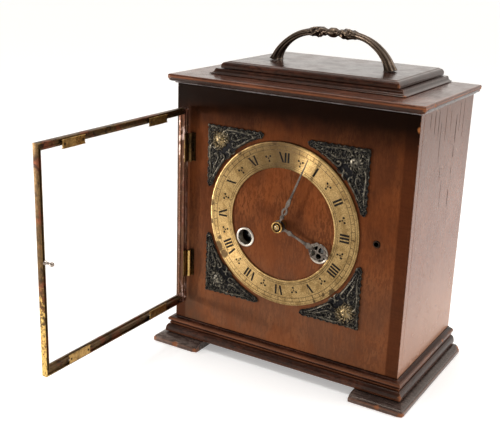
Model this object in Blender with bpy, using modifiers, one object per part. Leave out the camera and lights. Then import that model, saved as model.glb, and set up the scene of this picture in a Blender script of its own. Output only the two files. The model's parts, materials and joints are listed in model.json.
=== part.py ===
"""Mantel clock: a veneered wooden case with a glazed front door, and its eight-day striking movement.

Case frame, in millimetres: X to the right, Y to the back with the front board's face at Y = 0,
and Z up from the surface that the clock stands on. The empty "clock_origin" moves this frame so
that the model's origin is at the bottom centre of its box, with the front door open.
"""

import math

import bmesh
import bpy
from mathutils import Matrix, Vector

MM = 0.001
GAP = 0.3                     # between pieces that touch

# Case
HALF_WIDTH = 109.0
CASE_DEPTH = 124.6
BASE_TOP = 23.0               # top of the base board, where the case's walls stand
BODY_TOP = 237.3
PANEL_THICK = 7.0
SIDE_THICK = 8.0
BACK_THICK = 6.0
PLINTH_TOP = 7.0
PLINTH_OUT_SIDE = 13.1
PLINTH_OUT_FRONT = 17.0
PLINTH_INNER_END = 75.0
CROWN_TOP = 256.2

# Dial, centred a little left of the case's middle
DIAL_X, DIAL_Z = -1.8, 131.7
RING_OUTER, RING_INNER, RING_THICK = 70.0, 48.1, 1.2
SPANDREL_HALF_X, SPANDREL_HALF_Z = 74.6, 75.4
SPANDREL_LEG, SPANDREL_THICK = 54.5, 2.2
WINDING_X, WINDING_Z = 35.0, -17.8      # winding arbors, from the dial's centre
GROMMET_FLANGE_R, GROMMET_OUTER_R, GROMMET_BORE_R = 8.6, 7.2, 6.6

# Front door, given closed; it is built open
FRONT_HINGE = (-92.0, -4.6)
FRONT_KNUCKLE_R = 1.6
DOOR_OPEN_DEG = 90.0
DOOR_LEFT, DOOR_RIGHT, DOOR_BOTTOM, DOOR_TOP = -93.1, 84.4, 42.4, 218.8
DOOR_BACK, DOOR_FRONT = -7.2, -12.6
STILE_HINGE, STILE_FREE, RAIL_TOP, RAIL_BOTTOM = 6.9, 4.3, 6.4, 6.8
GLASS_BACK, GLASS_FRONT = -10.8, -12.2
CATCH_X, CATCH_Z = 82.3, 132.3
CATCH_BUSH_R, CATCH_BORE_R = 3.1, 2.3

# Back door
BACK_HINGE = (-83.7, CASE_DEPTH + 1.7)
BACK_OPENING = (-84.0, 84.0, 40.0, 218.0)

# Movement: planes along Y, and arbors from the dial's centre
FRONT_PLATE = (17.0, 19.0)
BACK_PLATE = (59.0, 61.0)
PLATE_BOX = (-64.0, 64.0, -47.5, 58.5)
PILLARS = [(-58.0, -41.0), (58.0, -41.0), (-58.0, 52.0), (58.0, 52.0)]
PIVOT_R, PIVOT_HOLE_R = 1.15, 1.45
PIVOT_ENDS = (16.5, 61.5)
BARREL_R = 24.0
ESCAPE_Z = DIAL_Z + 33.6
PENDULUM_Z = ESCAPE_Z + 14.0    # the axis that the anchor and the pendulum share
ESCAPE_R = 10.0

MATERIALS = {
    "dark_mahogany": ((0.060, 0.022, 0.014), 0.35, 0.0),
    "panel_mahogany": ((0.190, 0.070, 0.030), 0.35, 0.0),
    "side_mahogany": ((0.130, 0.060, 0.042), 0.30, 0.0),
    "inner_wood": ((0.260, 0.150, 0.080), 0.60, 0.0),
    "bronze": ((0.055, 0.045, 0.035), 0.45, 1.0),
    "dial_brass": ((0.640, 0.450, 0.180), 0.35, 1.0),
    "aged_brass": ((0.420, 0.290, 0.110), 0.40, 1.0),
    "frame_brass": ((0.360, 0.210, 0.110), 0.40, 1.0),
    "movement_brass": ((0.600, 0.430, 0.160), 0.30, 1.0),
    "white_metal": ((0.720, 0.700, 0.660), 0.30, 1.0),
    "hand_steel": ((0.210, 0.200, 0.190), 0.40, 1.0),
    "steel": ((0.420, 0.420, 0.430), 0.30, 1.0),
    "blued_steel": ((0.050, 0.055, 0.080), 0.30, 1.0),
    "cast_iron": ((0.060, 0.060, 0.060), 0.60, 1.0),
    "glass": ((0.900, 0.940, 0.930), 0.05, 0.0),
}


# ---------------------------------------------------------------- scene and helpers

def clear_scene():
    for obj in list(bpy.data.objects):
        bpy.data.objects.remove(obj, do_unlink=True)


def new_collection(name):
    collection = bpy.data.collections.new(name)
    bpy.context.scene.collection.children.link(collection)
    return collection


def material(name):
    found = bpy.data.materials.get(name)
    if found:
        return found
    color, roughness, metallic = MATERIALS[name]
    made = bpy.data.materials.new(name)
    made.use_nodes = True
    shader = made.node_tree.nodes["Principled BSDF"]
    shader.inputs["Base Color"].default_value = (*color, 1.0)
    shader.inputs["Roughness"].default_value = roughness
    shader.inputs["Metallic"].default_value = metallic
    made.diffuse_color = (*color, 1.0)
    return made


clear_scene()
PARTS = new_collection("mantel_clock")
CUTTERS = new_collection("cutters")


def empty(name, location, parent=None, turn_deg=0.0):
    """A pivot on a joint's axis; location is in millimetres, from its parent."""
    made = bpy.data.objects.new(name, None)
    made.location = Vector(location) * MM
    made.rotation_euler.z = math.radians(turn_deg)
    made.parent = parent
    PARTS.objects.link(made)
    return made


JOINT_AXES = {
    "front_door": ((*FRONT_HINGE, 0), -DOOR_OPEN_DEG),
    "back_door": ((*BACK_HINGE, 0), 0),
    "pendulum": ((DIAL_X, 0, PENDULUM_Z), 0),
}
ORIGIN = None
PIVOTS = {}


def make_pivots():
    """The origin's empty, and one empty on each joint's axis."""
    global ORIGIN
    front_reach = FRONT_HINGE[1] - (DOOR_RIGHT - FRONT_HINGE[0])
    rear_reach = BACK_HINGE[1] + 1.6
    ORIGIN = empty("clock_origin", (0, -(front_reach + rear_reach) / 2, 0))
    for name, (place_on_axis, turn_deg) in JOINT_AXES.items():
        PIVOTS[name] = empty(f"{name}_pivot", place_on_axis, ORIGIN, turn_deg)


def place(obj, pivot=None, at=(0, 0, 0)):
    """Parents obj to the origin, or to a joint's pivot; a door's pieces are placed as if it were closed."""
    if pivot:
        obj.parent = PIVOTS[pivot]
        obj.location = (Vector(at) - Vector(JOINT_AXES[pivot][0])) * MM
    else:
        obj.parent = ORIGIN
        obj.location = Vector(at) * MM
    return obj


def new_object(name, mesh, material_name, pivot=None, at=(0, 0, 0), cutter=False):
    obj = bpy.data.objects.new(name, mesh)
    if cutter:
        CUTTERS.objects.link(obj)
        obj.hide_render = True
        obj.display_type = "WIRE"
    else:
        PARTS.objects.link(obj)
        mesh.materials.append(material(material_name))
    return place(obj, pivot, at)


def mesh_from(bm, name, smooth=False):
    bmesh.ops.recalc_face_normals(bm, faces=bm.faces)
    mesh = bpy.data.meshes.new(name)
    bm.to_mesh(mesh)
    bm.free()
    if smooth:
        mesh.shade_smooth()
        mesh.set_sharp_from_angle(angle=math.radians(35))
    return mesh


def box(name, low, high, material_name, bevel=0.0, cutter=False, pivot=None):
    low, high = Vector(low), Vector(high)
    bm = bmesh.new()
    bmesh.ops.create_cube(bm, size=1.0)
    bmesh.ops.scale(bm, vec=(high - low) * MM, verts=bm.verts)
    obj = new_object(name, mesh_from(bm, name), material_name, pivot, (low + high) / 2, cutter)
    if bevel:
        round_edges(obj, bevel)
    return obj


def round_edges(obj, width, segments=2):
    edge = obj.modifiers.new("rounded_edges", "BEVEL")
    edge.width = width * MM
    edge.segments = segments
    edge.limit_method = "ANGLE"
    edge.angle_limit = math.radians(40)


def boolean(obj, other, operation="DIFFERENCE"):
    step = obj.modifiers.new(operation.lower(), "BOOLEAN")
    step.operation = operation
    step.solver = "EXACT"
    step.object = other
    return obj


def circle(x, z, radius, count=24, start_deg=0.0):
    step = 2 * math.pi / count
    start = math.radians(start_deg)
    return [(x + radius * math.cos(start + i * step), z + radius * math.sin(start + i * step))
            for i in range(count)]


def arc(x, z, radius, start_deg, end_deg, count):
    angles = [math.radians(start_deg + (end_deg - start_deg) * i / (count - 1)) for i in range(count)]
    return [(x + radius * math.cos(a), z + radius * math.sin(a)) for a in angles]


def curve_to_mesh(curve_object, name):
    """The evaluated curve as a welded mesh, with the curve removed."""
    bpy.context.view_layer.update()
    evaluated = curve_object.evaluated_get(bpy.context.evaluated_depsgraph_get())
    mesh = bpy.data.meshes.new_from_object(evaluated)
    mesh.materials.clear()
    bm = bmesh.new()
    bm.from_mesh(mesh)
    bmesh.ops.remove_doubles(bm, verts=bm.verts, dist=0.00001)
    bmesh.ops.recalc_face_normals(bm, faces=bm.faces)
    bm.to_mesh(mesh)
    bm.free()
    mesh.name = name
    bpy.data.objects.remove(curve_object, do_unlink=True)
    return mesh


def flat(name, outlines, y_from, y_to, material_name, at=(0, 0), cutter=False, pivot=None):
    """A flat piece facing front: closed outlines in (x, z), the later ones holes, between two Ys."""
    curve = bpy.data.curves.new(name, "CURVE")
    curve.dimensions = "2D"
    curve.fill_mode = "BOTH"
    curve.extrude = (y_to - y_from) / 2 * MM
    for outline in outlines:
        spline = curve.splines.new("POLY")
        spline.points.add(len(outline) - 1)
        for point, (x, z) in zip(spline.points, outline):
            point.co = (x * MM, z * MM, 0, 1)
        spline.use_cyclic_u = True
    guide = bpy.data.objects.new(name, curve)
    CUTTERS.objects.link(guide)
    mesh = curve_to_mesh(guide, name)
    mesh.transform(Matrix.Rotation(math.pi / 2, 4, "X"))
    return new_object(name, mesh, material_name, pivot, (at[0], (y_from + y_to) / 2, at[1]), cutter)


def tube(name, points, radius, material_name, radii=None, sides=2, cutter=False, at=(0, 0, 0),
         flatten=1.0):
    """A rod along points; flatten widens it along Y by that factor."""
    curve = bpy.data.curves.new(name, "CURVE")
    curve.dimensions = "3D"
    curve.bevel_depth = radius * MM
    curve.bevel_resolution = sides
    curve.use_fill_caps = True
    spline = curve.splines.new("POLY")
    spline.points.add(len(points) - 1)
    for i, (point, co) in enumerate(zip(spline.points, points)):
        point.co = (co[0] * MM, co[1] * MM, co[2] * MM, 1)
        point.radius = radii[i] if radii else 1.0
    guide = bpy.data.objects.new(name, curve)
    CUTTERS.objects.link(guide)
    mesh = curve_to_mesh(guide, name)
    mesh.transform(Matrix.Diagonal((1.0, flatten, 1.0, 1.0)))
    mesh.shade_smooth()
    mesh.set_sharp_from_angle(angle=math.radians(40))
    return new_object(name, mesh, material_name, at=at, cutter=cutter)


def turned(name, profile, at, material_name, steps=20, axis="Y", cutter=False, pivot=None, closed=False):
    """A turned piece: profile is (radius, height along the axis), from the highest point down.

    A closed profile goes round a bore; an open one starts and ends on the axis.
    """
    bm = bmesh.new()
    verts = [bm.verts.new((r * MM, 0, h * MM)) for r, h in profile]
    for first, second in zip(verts, verts[1:]):
        bm.edges.new((first, second))
    if closed:
        bm.edges.new((verts[-1], verts[0]))
    mesh = bpy.data.meshes.new(name)
    bm.to_mesh(mesh)
    bm.free()
    obj = new_object(name, mesh, material_name, pivot, at, cutter)
    if axis == "Y":
        obj.rotation_euler.x = -math.pi / 2
    if axis == "X":
        obj.rotation_euler.y = math.pi / 2
    spin = obj.modifiers.new("turning", "SCREW")
    spin.steps = steps
    spin.render_steps = steps
    spin.use_merge_vertices = True
    spin.merge_threshold = 0.00001
    spin.use_smooth_shade = True
    return obj


def rod_y(name, x, z, radius, y_from, y_to, material_name="steel", steps=8, cutter=False):
    """A plain round arbor along Y."""
    profile = [(0, y_to), (radius, y_to), (radius, y_from), (0, y_from)]
    return turned(name, profile, (x, 0, z), material_name, steps, cutter=cutter)


# ---------------------------------------------------------------- wooden case

def moulded_slab(name, levels, front, rear, material_name, half=HALF_WIDTH):
    """A slab with a moulded edge on its front and two sides, mitred at the corners, flush behind.

    levels are (projection, z) from the bottom up, the projection beyond half and in front of front.
    """
    bm = bmesh.new()
    rings = []
    for out, z in levels:
        left, right, ahead = -half - out, half + out, front - out
        corners = [(left, ahead), (right, ahead), (right, rear), (left, rear)]
        rings.append([bm.verts.new((x * MM, y * MM, z * MM)) for x, y in corners])
    for lower, upper in zip(rings, rings[1:]):
        for i in range(4):
            j = (i + 1) % 4
            bm.faces.new((lower[i], lower[j], upper[j], upper[i]))
    bm.faces.new(rings[0][::-1])
    bm.faces.new(rings[-1])
    return new_object(name, mesh_from(bm, name), material_name)


def rounded(out_from, z_from, out_to, z_to, bulge, count=4):
    """Moulding points on a quarter ellipse, bulging outwards (bulge 1) or hollow (bulge 0)."""
    points = []
    for i in range(count + 1):
        t = math.radians(90 * i / count)
        if bulge:
            share_out, share_z = 1 - math.cos(t), math.sin(t)
        else:
            share_out, share_z = math.sin(t), 1 - math.cos(t)
        out = out_from + (out_to - out_from) * share_out
        points.append((out, z_from + (z_to - z_from) * share_z))
    return points


def make_case():
    front_gap = PANEL_THICK + GAP
    base = [(5.6, 7.3), (6.5, 8.2), (6.6, 12.8)]
    base += rounded(6.6, 13.0, 3.4, 16.6, 1)
    base += [(3.2, 17.0), (3.2, 17.8), (4.6, 18.4), (5.1, 19.6), (4.7, 21.0), (3.4, 21.9), (0.6, BASE_TOP)]
    moulded_slab("base_board", base, 0.0, CASE_DEPTH, "dark_mahogany")

    for name, sign in (("side_left", -1), ("side_right", 1)):
        inner, outer = sorted((sign * (HALF_WIDTH - SIDE_THICK), sign * HALF_WIDTH))
        box(name, (inner, front_gap, BASE_TOP + GAP), (outer, CASE_DEPTH, BODY_TOP), "side_mahogany")

    foot = BASE_TOP + GAP
    panel = [(-HALF_WIDTH, foot), (HALF_WIDTH, foot), (HALF_WIDTH, BODY_TOP), (-HALF_WIDTH, BODY_TOP)]
    holes = [circle(DIAL_X, DIAL_Z, 3.6, 20), circle(CATCH_X, CATCH_Z, CATCH_BUSH_R + GAP, 16)]
    for sign in (-1, 1):
        holes.append(circle(DIAL_X + sign * WINDING_X, DIAL_Z + WINDING_Z, GROMMET_OUTER_R + GAP, 24))
    flat("front_panel", [panel] + holes, 0.0, PANEL_THICK, "panel_mahogany")

    fillet_top = BODY_TOP + GAP + 1.3
    fillet = [(0.6, BODY_TOP + GAP), (1.5, BODY_TOP + GAP + 0.3), (1.5, fillet_top)]
    moulded_slab("cornice_fillet", fillet, 0.0, CASE_DEPTH, "dark_mahogany")
    plate_low, plate_mid, plate_high = fillet_top + GAP, 242.2, 245.4
    plate = [(2.2, plate_low)] + rounded(3.2, plate_low + 0.2, 5.7, plate_mid, 0)[1:]
    plate += rounded(5.7, plate_mid, 2.6, plate_high, 1)[1:]
    moulded_slab("cornice_plate", plate, -1.3, CASE_DEPTH + 1.0, "dark_mahogany")

    crown = [(-20.2, 245.7)] + rounded(-20.8, 246.2, -24.0, 249.0, 0)[1:] + [(-24.0, 250.2)]
    moulded_slab("crown_moulding", crown, -2.6, CASE_DEPTH, "dark_mahogany")
    top = [(-28.0, 250.5), (-28.0, 252.4)] + rounded(-28.0, 252.4, -32.6, CROWN_TOP, 1)[1:]
    moulded_slab("crown_top", top, -4.2, CASE_DEPTH, "dark_mahogany")

    wall = HALF_WIDTH - SIDE_THICK - GAP
    outline = [(-wall, BASE_TOP + GAP), (wall, BASE_TOP + GAP), (wall, BODY_TOP), (-wall, BODY_TOP)]
    left, right, low, high = BACK_OPENING
    opening = [(left, low), (right, low), (right, high), (left, high)]
    flat("back_frame", [outline, opening], CASE_DEPTH - BACK_THICK, CASE_DEPTH, "inner_wood")
    for name, sign in (("plinth_left", -1), ("plinth_right", 1)):
        make_plinth(name, sign)


def make_plinth(name, sign):
    """A plinth moulding along one side, mitred into a short bracket foot on the front."""
    inset = 12.0
    cove = rounded(0.0, PLINTH_TOP, 1.0, 3.6, 0, 5)
    section = [(share, z) for share, z in cove] + [(1.0, 0.8), (0.94, 0.0)]
    top_out = 6.2

    def station(x_from, y_from, mitre):
        """Points round the section; mitre says which way each point moves with its projection."""
        points = []
        for share, z in section:
            side = top_out + share * (PLINTH_OUT_SIDE - top_out)
            front = top_out + share * (PLINTH_OUT_FRONT - top_out)
            points.append((x_from + mitre[0] * side, y_from + mitre[1] * front, z))
        points.append((x_from - mitre[0] * inset, y_from - mitre[1] * inset, 0.0))
        points.append((x_from - mitre[0] * inset, y_from - mitre[1] * inset, PLINTH_TOP))
        return points

    stations = [station(HALF_WIDTH, CASE_DEPTH, (1, 0)), station(HALF_WIDTH, 0.0, (1, -1)),
                station(PLINTH_INNER_END, 0.0, (0, -1))]
    bm = bmesh.new()
    rings = [[bm.verts.new((sign * x * MM, y * MM, z * MM)) for x, y, z in points] for points in stations]
    count = len(rings[0])
    for first, second in zip(rings, rings[1:]):
        for i in range(count):
            j = (i + 1) % count
            bm.faces.new((first[i], first[j], second[j], second[i]))
    bm.faces.new(rings[0])
    bm.faces.new(rings[-1][::-1])
    new_object(name, mesh_from(bm, name), "dark_mahogany")


def make_handle():
    """A cast carrying handle: two arms that rise from wide feet and meet in a flatter grip."""
    middle_y = 71.0
    foot_x, foot_z = 53.4, CROWN_TOP + GAP
    half_arm = [(foot_x, foot_z), (foot_x, 260.0), (51.6, 265.5), (48.4, 270.0), (44.2, 274.2),
                (38.6, 277.9), (31.6, 280.6), (24.0, 282.2), (16.0, 283.0), (8.0, 283.4)]
    widths = [1.75, 1.5, 1.3, 1.18, 1.08, 1.0, 1.0, 1.12, 1.35, 1.3]
    points = [(x, 0, z) for x, z in half_arm] + [(0, 0, 283.6)] + [(-x, 0, z) for x, z in half_arm[::-1]]
    radii = widths + [1.5] + widths[::-1]
    tube("carry_handle", points, 2.45, "bronze", radii, sides=3, flatten=1.85, at=(0, middle_y, 0))


# ---------------------------------------------------------------- dial

def make_dial():
    ring_back = -GAP
    ring = [circle(DIAL_X, DIAL_Z, RING_OUTER, 60), circle(DIAL_X, DIAL_Z, RING_INNER, 48)]
    flat("chapter_ring", ring, ring_back - RING_THICK, ring_back, "dial_brass")
    for name, sign_x, sign_z in (("spandrel_top_left", -1, 1), ("spandrel_top_right", 1, 1),
                                 ("spandrel_bottom_left", -1, -1), ("spandrel_bottom_right", 1, -1)):
        flat(name, [spandrel_outline(sign_x, sign_z)], -GAP - SPANDREL_THICK, -GAP, "bronze")
    for name, sign in (("winding_grommet_left", -1), ("winding_grommet_right", 1)):
        profile = [(GROMMET_OUTER_R, PANEL_THICK - 1), (GROMMET_OUTER_R, -GAP), (GROMMET_FLANGE_R, -GAP),
                   (GROMMET_FLANGE_R - 0.4, -1.2), (GROMMET_BORE_R, -1.2), (GROMMET_BORE_R, PANEL_THICK - 1)]
        place = (DIAL_X + sign * WINDING_X, 0, DIAL_Z + WINDING_Z)
        turned(name, profile, place, "white_metal", 22, closed=True)
    bush = [(CATCH_BUSH_R, 6.0), (CATCH_BUSH_R, -0.6), (CATCH_BORE_R, -0.6), (CATCH_BORE_R, 6.0)]
    turned("catch_bush", bush, (CATCH_X, 0, CATCH_Z), "bronze", 16, closed=True)


def spandrel_outline(sign_x, sign_z):
    """A corner mount: two legs along the dial's square, and an edge that follows the ring."""
    clear_r = RING_OUTER + 2.6
    end_x = SPANDREL_HALF_X - SPANDREL_LEG
    end_z = SPANDREL_HALF_Z - SPANDREL_LEG
    start = math.degrees(math.asin(end_z / clear_r))
    stop = math.degrees(math.acos(end_x / clear_r))
    points = [(SPANDREL_HALF_X, end_z), (SPANDREL_HALF_X, SPANDREL_HALF_Z), (end_x, SPANDREL_HALF_Z)]
    points += arc(0, 0, clear_r, stop, start, 12)
    return [(DIAL_X + sign_x * x, DIAL_Z + sign_z * z) for x, z in points]


def hand_outline(points, angle_deg):
    """Points (across, along) for a hand lying at a clock angle, clockwise from twelve."""
    angle = math.radians(angle_deg)
    turned_points = []
    for across, along in points:
        x = across * math.cos(angle) + along * math.sin(angle)
        z = along * math.cos(angle) - across * math.sin(angle)
        turned_points.append((x, z))
    return turned_points


HOUR_ANGLE, MINUTE_ANGLE = 112.0, 22.0
HOUR_HAND_PLANE, MINUTE_HAND_PLANE = (-5.6, -4.8), (-8.2, -7.3)


def make_hands():
    minute = [(-1.0, 9.0), (-2.2, 14.0), (-3.0, 18.0), (-1.4, 21.0), (-1.7, 27.0), (-0.9, 30.0),
              (-0.35, 65.5)]
    outline = hub_and_blade(4.2, minute)
    bore = circle(0, 0, 2.2, 14)
    flat("minute_hand", [hand_outline(outline, MINUTE_ANGLE), bore], *MINUTE_HAND_PLANE, "hand_steel",
         at=(DIAL_X, DIAL_Z))
    head_at, head_r = 38.6, 7.6
    stem = [(-1.9, 6.0), (-1.2, 16.0), (-1.5, 24.0), (-2.6, 29.5)]
    stem += [(x, z) for x, z in arc(0, head_at, head_r, 228, 100, 8)]
    stem += [(-0.5, 49.5)]
    outline = hub_and_blade(5.2, stem)
    piercings = [hand_outline(circle(0, head_at + 3.4, 1.7, 8), HOUR_ANGLE)]
    piercings += [hand_outline(circle(sign * 3.5, head_at - 0.6, 1.9, 8), HOUR_ANGLE) for sign in (-1, 1)]
    bore = circle(0, 0, 3.5, 16)
    flat("hour_hand", [hand_outline(outline, HOUR_ANGLE), bore] + piercings, *HOUR_HAND_PLANE, "hand_steel",
         at=(DIAL_X, DIAL_Z))
    nut = [(1.45, -8.5), (4.4, -8.5), (4.4, -9.5), (3.9, -9.9), (1.45, -9.9)]
    turned("hand_nut", nut, (DIAL_X, 0, DIAL_Z), "aged_brass", 20, closed=True)


def hub_and_blade(hub_r, left_side):
    """A hub's circle joined to a blade whose left side is listed from the root to the tip."""
    root_x = left_side[0][0]
    half_gap = math.degrees(math.asin(abs(root_x) / hub_r))
    hub = arc(0, 0, hub_r, 90 + half_gap, 450 - half_gap, 16)
    right_side = [(-x, z) for x, z in left_side[::-1]]
    return left_side[::-1] + hub + right_side[::-1]


# ---------------------------------------------------------------- doors

def hinge(name, axis, z_from, z_to, leaf_x, leaf_y, radius, mates, body):
    """A butt hinge: the fixed leaf carries the end knuckles and the pin, the door's the middle one.

    leaf_x and leaf_y give (fixed, door) spans of the two leaves, with the door closed.
    """
    length = z_to - z_from
    cuts = [z_from, z_from + length / 3, z_to - length / 3, z_to]
    x, y = axis
    fixed_name, door_name = mates

    fixed = box(fixed_name, (leaf_x[0][0], leaf_y[0][0], z_from), (leaf_x[0][1], leaf_y[0][1], z_to),
                "aged_brass")
    notch = box(name + "_notch", (x - 2 * radius, y - radius - GAP, cuts[1] - GAP),
                (x + radius + GAP, y + radius + GAP, cuts[2] + GAP), None, cutter=True)
    boolean(fixed, notch)
    pin_r = radius * 0.45
    profile = [(0, cuts[3]), (radius, cuts[3]), (radius, cuts[2] + GAP / 2), (pin_r, cuts[2] + GAP / 2),
               (pin_r, cuts[1] - GAP / 2), (radius, cuts[1] - GAP / 2), (radius, cuts[0]), (0, cuts[0])]
    barrel = turned(name + "_fixed_knuckles", profile, (x, y, 0), None, 16, axis="Z", cutter=True)
    boolean(fixed, barrel, "UNION")

    low, high = cuts[1] + GAP / 2, cuts[2] - GAP / 2
    door = box(door_name, (leaf_x[1][0], leaf_y[1][0], z_from), (leaf_x[1][1], leaf_y[1][1], z_to),
               "aged_brass", pivot=body)
    for tag, span in (("low", (z_from - 1, low)), ("high", (high, z_to + 1))):
        clear = box(name + "_clear_" + tag, (x - radius - GAP, y - radius - GAP, span[0]),
                    (x + radius + GAP, y + radius + GAP, span[1]), None, cutter=True, pivot=body)
        boolean(door, clear)
    knuckle = [(0, high), (radius, high), (radius, low), (0, low)]
    middle = turned(name + "_door_knuckle", knuckle, (x, y, 0), None, 16, axis="Z", cutter=True, pivot=body)
    boolean(door, middle, "UNION")
    bore_r = pin_r + 0.25
    through = [(0, z_to + 2), (bore_r, z_to + 2), (bore_r, z_from - 2), (0, z_from - 2)]
    bore = turned(name + "_bore", through, (x, y, 0), None, 16, axis="Z", cutter=True, pivot=body)
    boolean(door, bore)


def rectangle(left, right, low, high):
    return [(left, low), (right, low), (right, high), (left, high)]


def make_front_door():
    left, right = DOOR_LEFT + STILE_HINGE, DOOR_RIGHT - STILE_FREE
    low, high = DOOR_BOTTOM + RAIL_BOTTOM, DOOR_TOP - RAIL_TOP
    outer = rectangle(DOOR_LEFT, DOOR_RIGHT, DOOR_BOTTOM, DOOR_TOP)
    inner = rectangle(left, right, low, high)
    frame = flat("door_frame", [outer, inner], DOOR_FRONT, DOOR_BACK, "frame_brass", pivot="front_door")
    rebate = 1.6
    groove = box("glass_groove", (left - rebate, GLASS_FRONT - GAP, low - rebate),
                 (right + rebate, GLASS_BACK + GAP, high + rebate), None, cutter=True, pivot="front_door")
    boolean(frame, groove)
    glass = rebate - GAP
    box("door_glass", (left - glass, GLASS_FRONT, low - glass), (right + glass, GLASS_BACK, high + glass),
        "glass", pivot="front_door")

    clip_length = 23.0
    clip_z = {"top": (high - rebate, DOOR_TOP - 1.2), "bottom": (DOOR_BOTTOM + 1.4, low + rebate)}
    for row, (z_low, z_high) in clip_z.items():
        for side, x_from in (("outer", 38.0), ("inner", -61.0)):
            box(f"glass_clip_{row}_{side}", (x_from, DOOR_BACK + GAP, z_low),
                (x_from + clip_length, DOOR_BACK + 1.1, z_high), "aged_brass", bevel=0.2, pivot="front_door")

    stem_r, ball_r, ball_y = 0.9, 1.85, -0.2
    ball = arc(0, ball_y, ball_r, 90, -60, 7)
    profile = ball + [(stem_r, ball_y - 1.8), (stem_r, DOOR_BACK + 1.2), (1.8, DOOR_BACK + 0.9),
                      (1.8, DOOR_BACK + GAP), (0, DOOR_BACK + GAP)]
    turned("catch_pin", [(max(r, 0), h) for r, h in profile], (CATCH_X, 0, CATCH_Z), "aged_brass", 14,
           pivot="front_door")

    hinge_x, hinge_y = FRONT_HINGE
    leaf_x = ((hinge_x - 1.0, hinge_x + 2.8), (hinge_x + 0.5, hinge_x + 5.6))
    leaf_y = ((-1.3, -GAP), (DOOR_BACK + GAP, DOOR_BACK + 1.2))
    for tag, z_from, z_to in (("upper", 172.4, 196.8), ("lower", 67.1, 91.5)):
        mates = (f"hinge_leaf_case_{tag}", f"hinge_leaf_door_{tag}")
        front_hinge(f"hinge_{tag}", (hinge_x, hinge_y), z_from, z_to, leaf_x, leaf_y, mates)


def front_hinge(name, axis, z_from, z_to, leaf_x, leaf_y, mates):
    """A front door hinge; a short web joins its end knuckles to the leaf on the case."""
    hinge(name, axis, z_from, z_to, leaf_x, leaf_y, FRONT_KNUCKLE_R, mates, "front_door")
    fixed = bpy.data.objects[mates[0]]
    length = z_to - z_from
    half = 0.9
    knuckle = length / 3 - GAP / 2
    for tag, low, high in (("low", z_from, z_from + knuckle), ("high", z_to - knuckle, z_to)):
        web = box(f"{name}_web_{tag}", (axis[0] - half, axis[1] + 1.0, low),
                  (axis[0] + half, leaf_y[0][0] + 0.4, high), None, cutter=True)
        boolean(fixed, web, "UNION")


def make_back_door():
    left, right, low, high = BACK_OPENING
    edge = 0.6
    box("back_door", (left + edge, CASE_DEPTH - BACK_THICK + 0.4, low + edge),
        (right - edge, CASE_DEPTH, high - edge), "inner_wood", bevel=0.4, pivot="back_door")
    x, y = BACK_HINGE
    leaf_x = ((x - 12.0, x - 0.4), (x + 0.4, x + 12.0))
    leaf_y = ((CASE_DEPTH + GAP, CASE_DEPTH + 1.3),) * 2
    mates = ("back_hinge_case", "back_hinge_door")
    hinge("back_hinge", (x, y), 54.0, 204.0, leaf_x, leaf_y, 1.6, mates, "back_door")

    button_x, button_z = 91.0, 129.0
    button_y = (CASE_DEPTH + GAP, CASE_DEPTH + 2.3)
    outline = arc(0, 9.5, 3.2, 0, 180, 8) + arc(0, -9.5, 3.2, 180, 360, 8)
    flat("turn_button", [outline], *button_y, "aged_brass", at=(button_x, button_z))


# ---------------------------------------------------------------- movement

def gear_outline(teeth, module, point_deg, on_tooth, fill=0.62, addendum=0.85, dedendum=1.1):
    """An outline of pointed teeth with a tooth, or a gap, centred on point_deg.

    fill is the share of the pitch that a tooth takes up at its root.
    """
    pitch = 360 / teeth
    pitch_r = teeth * module / 2
    root_r, tip_r = pitch_r - dedendum * module, pitch_r + addendum * module
    start = point_deg if on_tooth else point_deg + pitch / 2
    points = []
    for i in range(teeth):
        for radius, share in ((root_r, -fill / 2), (tip_r, 0.0), (root_r, fill / 2)):
            angle = math.radians(start + (i + share) * pitch)
            points.append((radius * math.cos(angle), radius * math.sin(angle)))
    return points


def crossings(hub_r, rim_r, spokes, spoke_half, start_deg=0.0):
    """Openings between a wheel's spokes."""
    holes = []
    for i in range(spokes):
        middle = start_deg + 360 / spokes * (i + 0.5)
        outer = 180 / spokes - math.degrees(spoke_half / rim_r)
        inner = 180 / spokes - math.degrees(spoke_half / hub_r)
        holes.append(arc(0, 0, rim_r, middle - outer, middle + outer, 4)
                     + arc(0, 0, hub_r, middle + inner, middle - inner, 2))
    return holes


def direction(start, end):
    return math.degrees(math.atan2(end[1] - start[1], end[0] - start[0]))


def meeting_point(first, second, first_reach, second_reach, side):
    """The arbor that lies at two given distances from two others, above (1) or below (-1) their line."""
    gap = math.dist(first, second)
    along = (first_reach ** 2 - second_reach ** 2 + gap ** 2) / (2 * gap)
    across = math.sqrt(first_reach ** 2 - along ** 2) * side
    unit = ((second[0] - first[0]) / gap, (second[1] - first[1]) / gap)
    return (first[0] + unit[0] * along - unit[1] * across, first[1] + unit[1] * along + unit[0] * across)


PINION = {"fill": 0.60, "addendum": 0.80, "dedendum": 1.15}
SMALL_PINION = {"fill": 0.52, "addendum": 0.75, "dedendum": 1.1}

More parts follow.
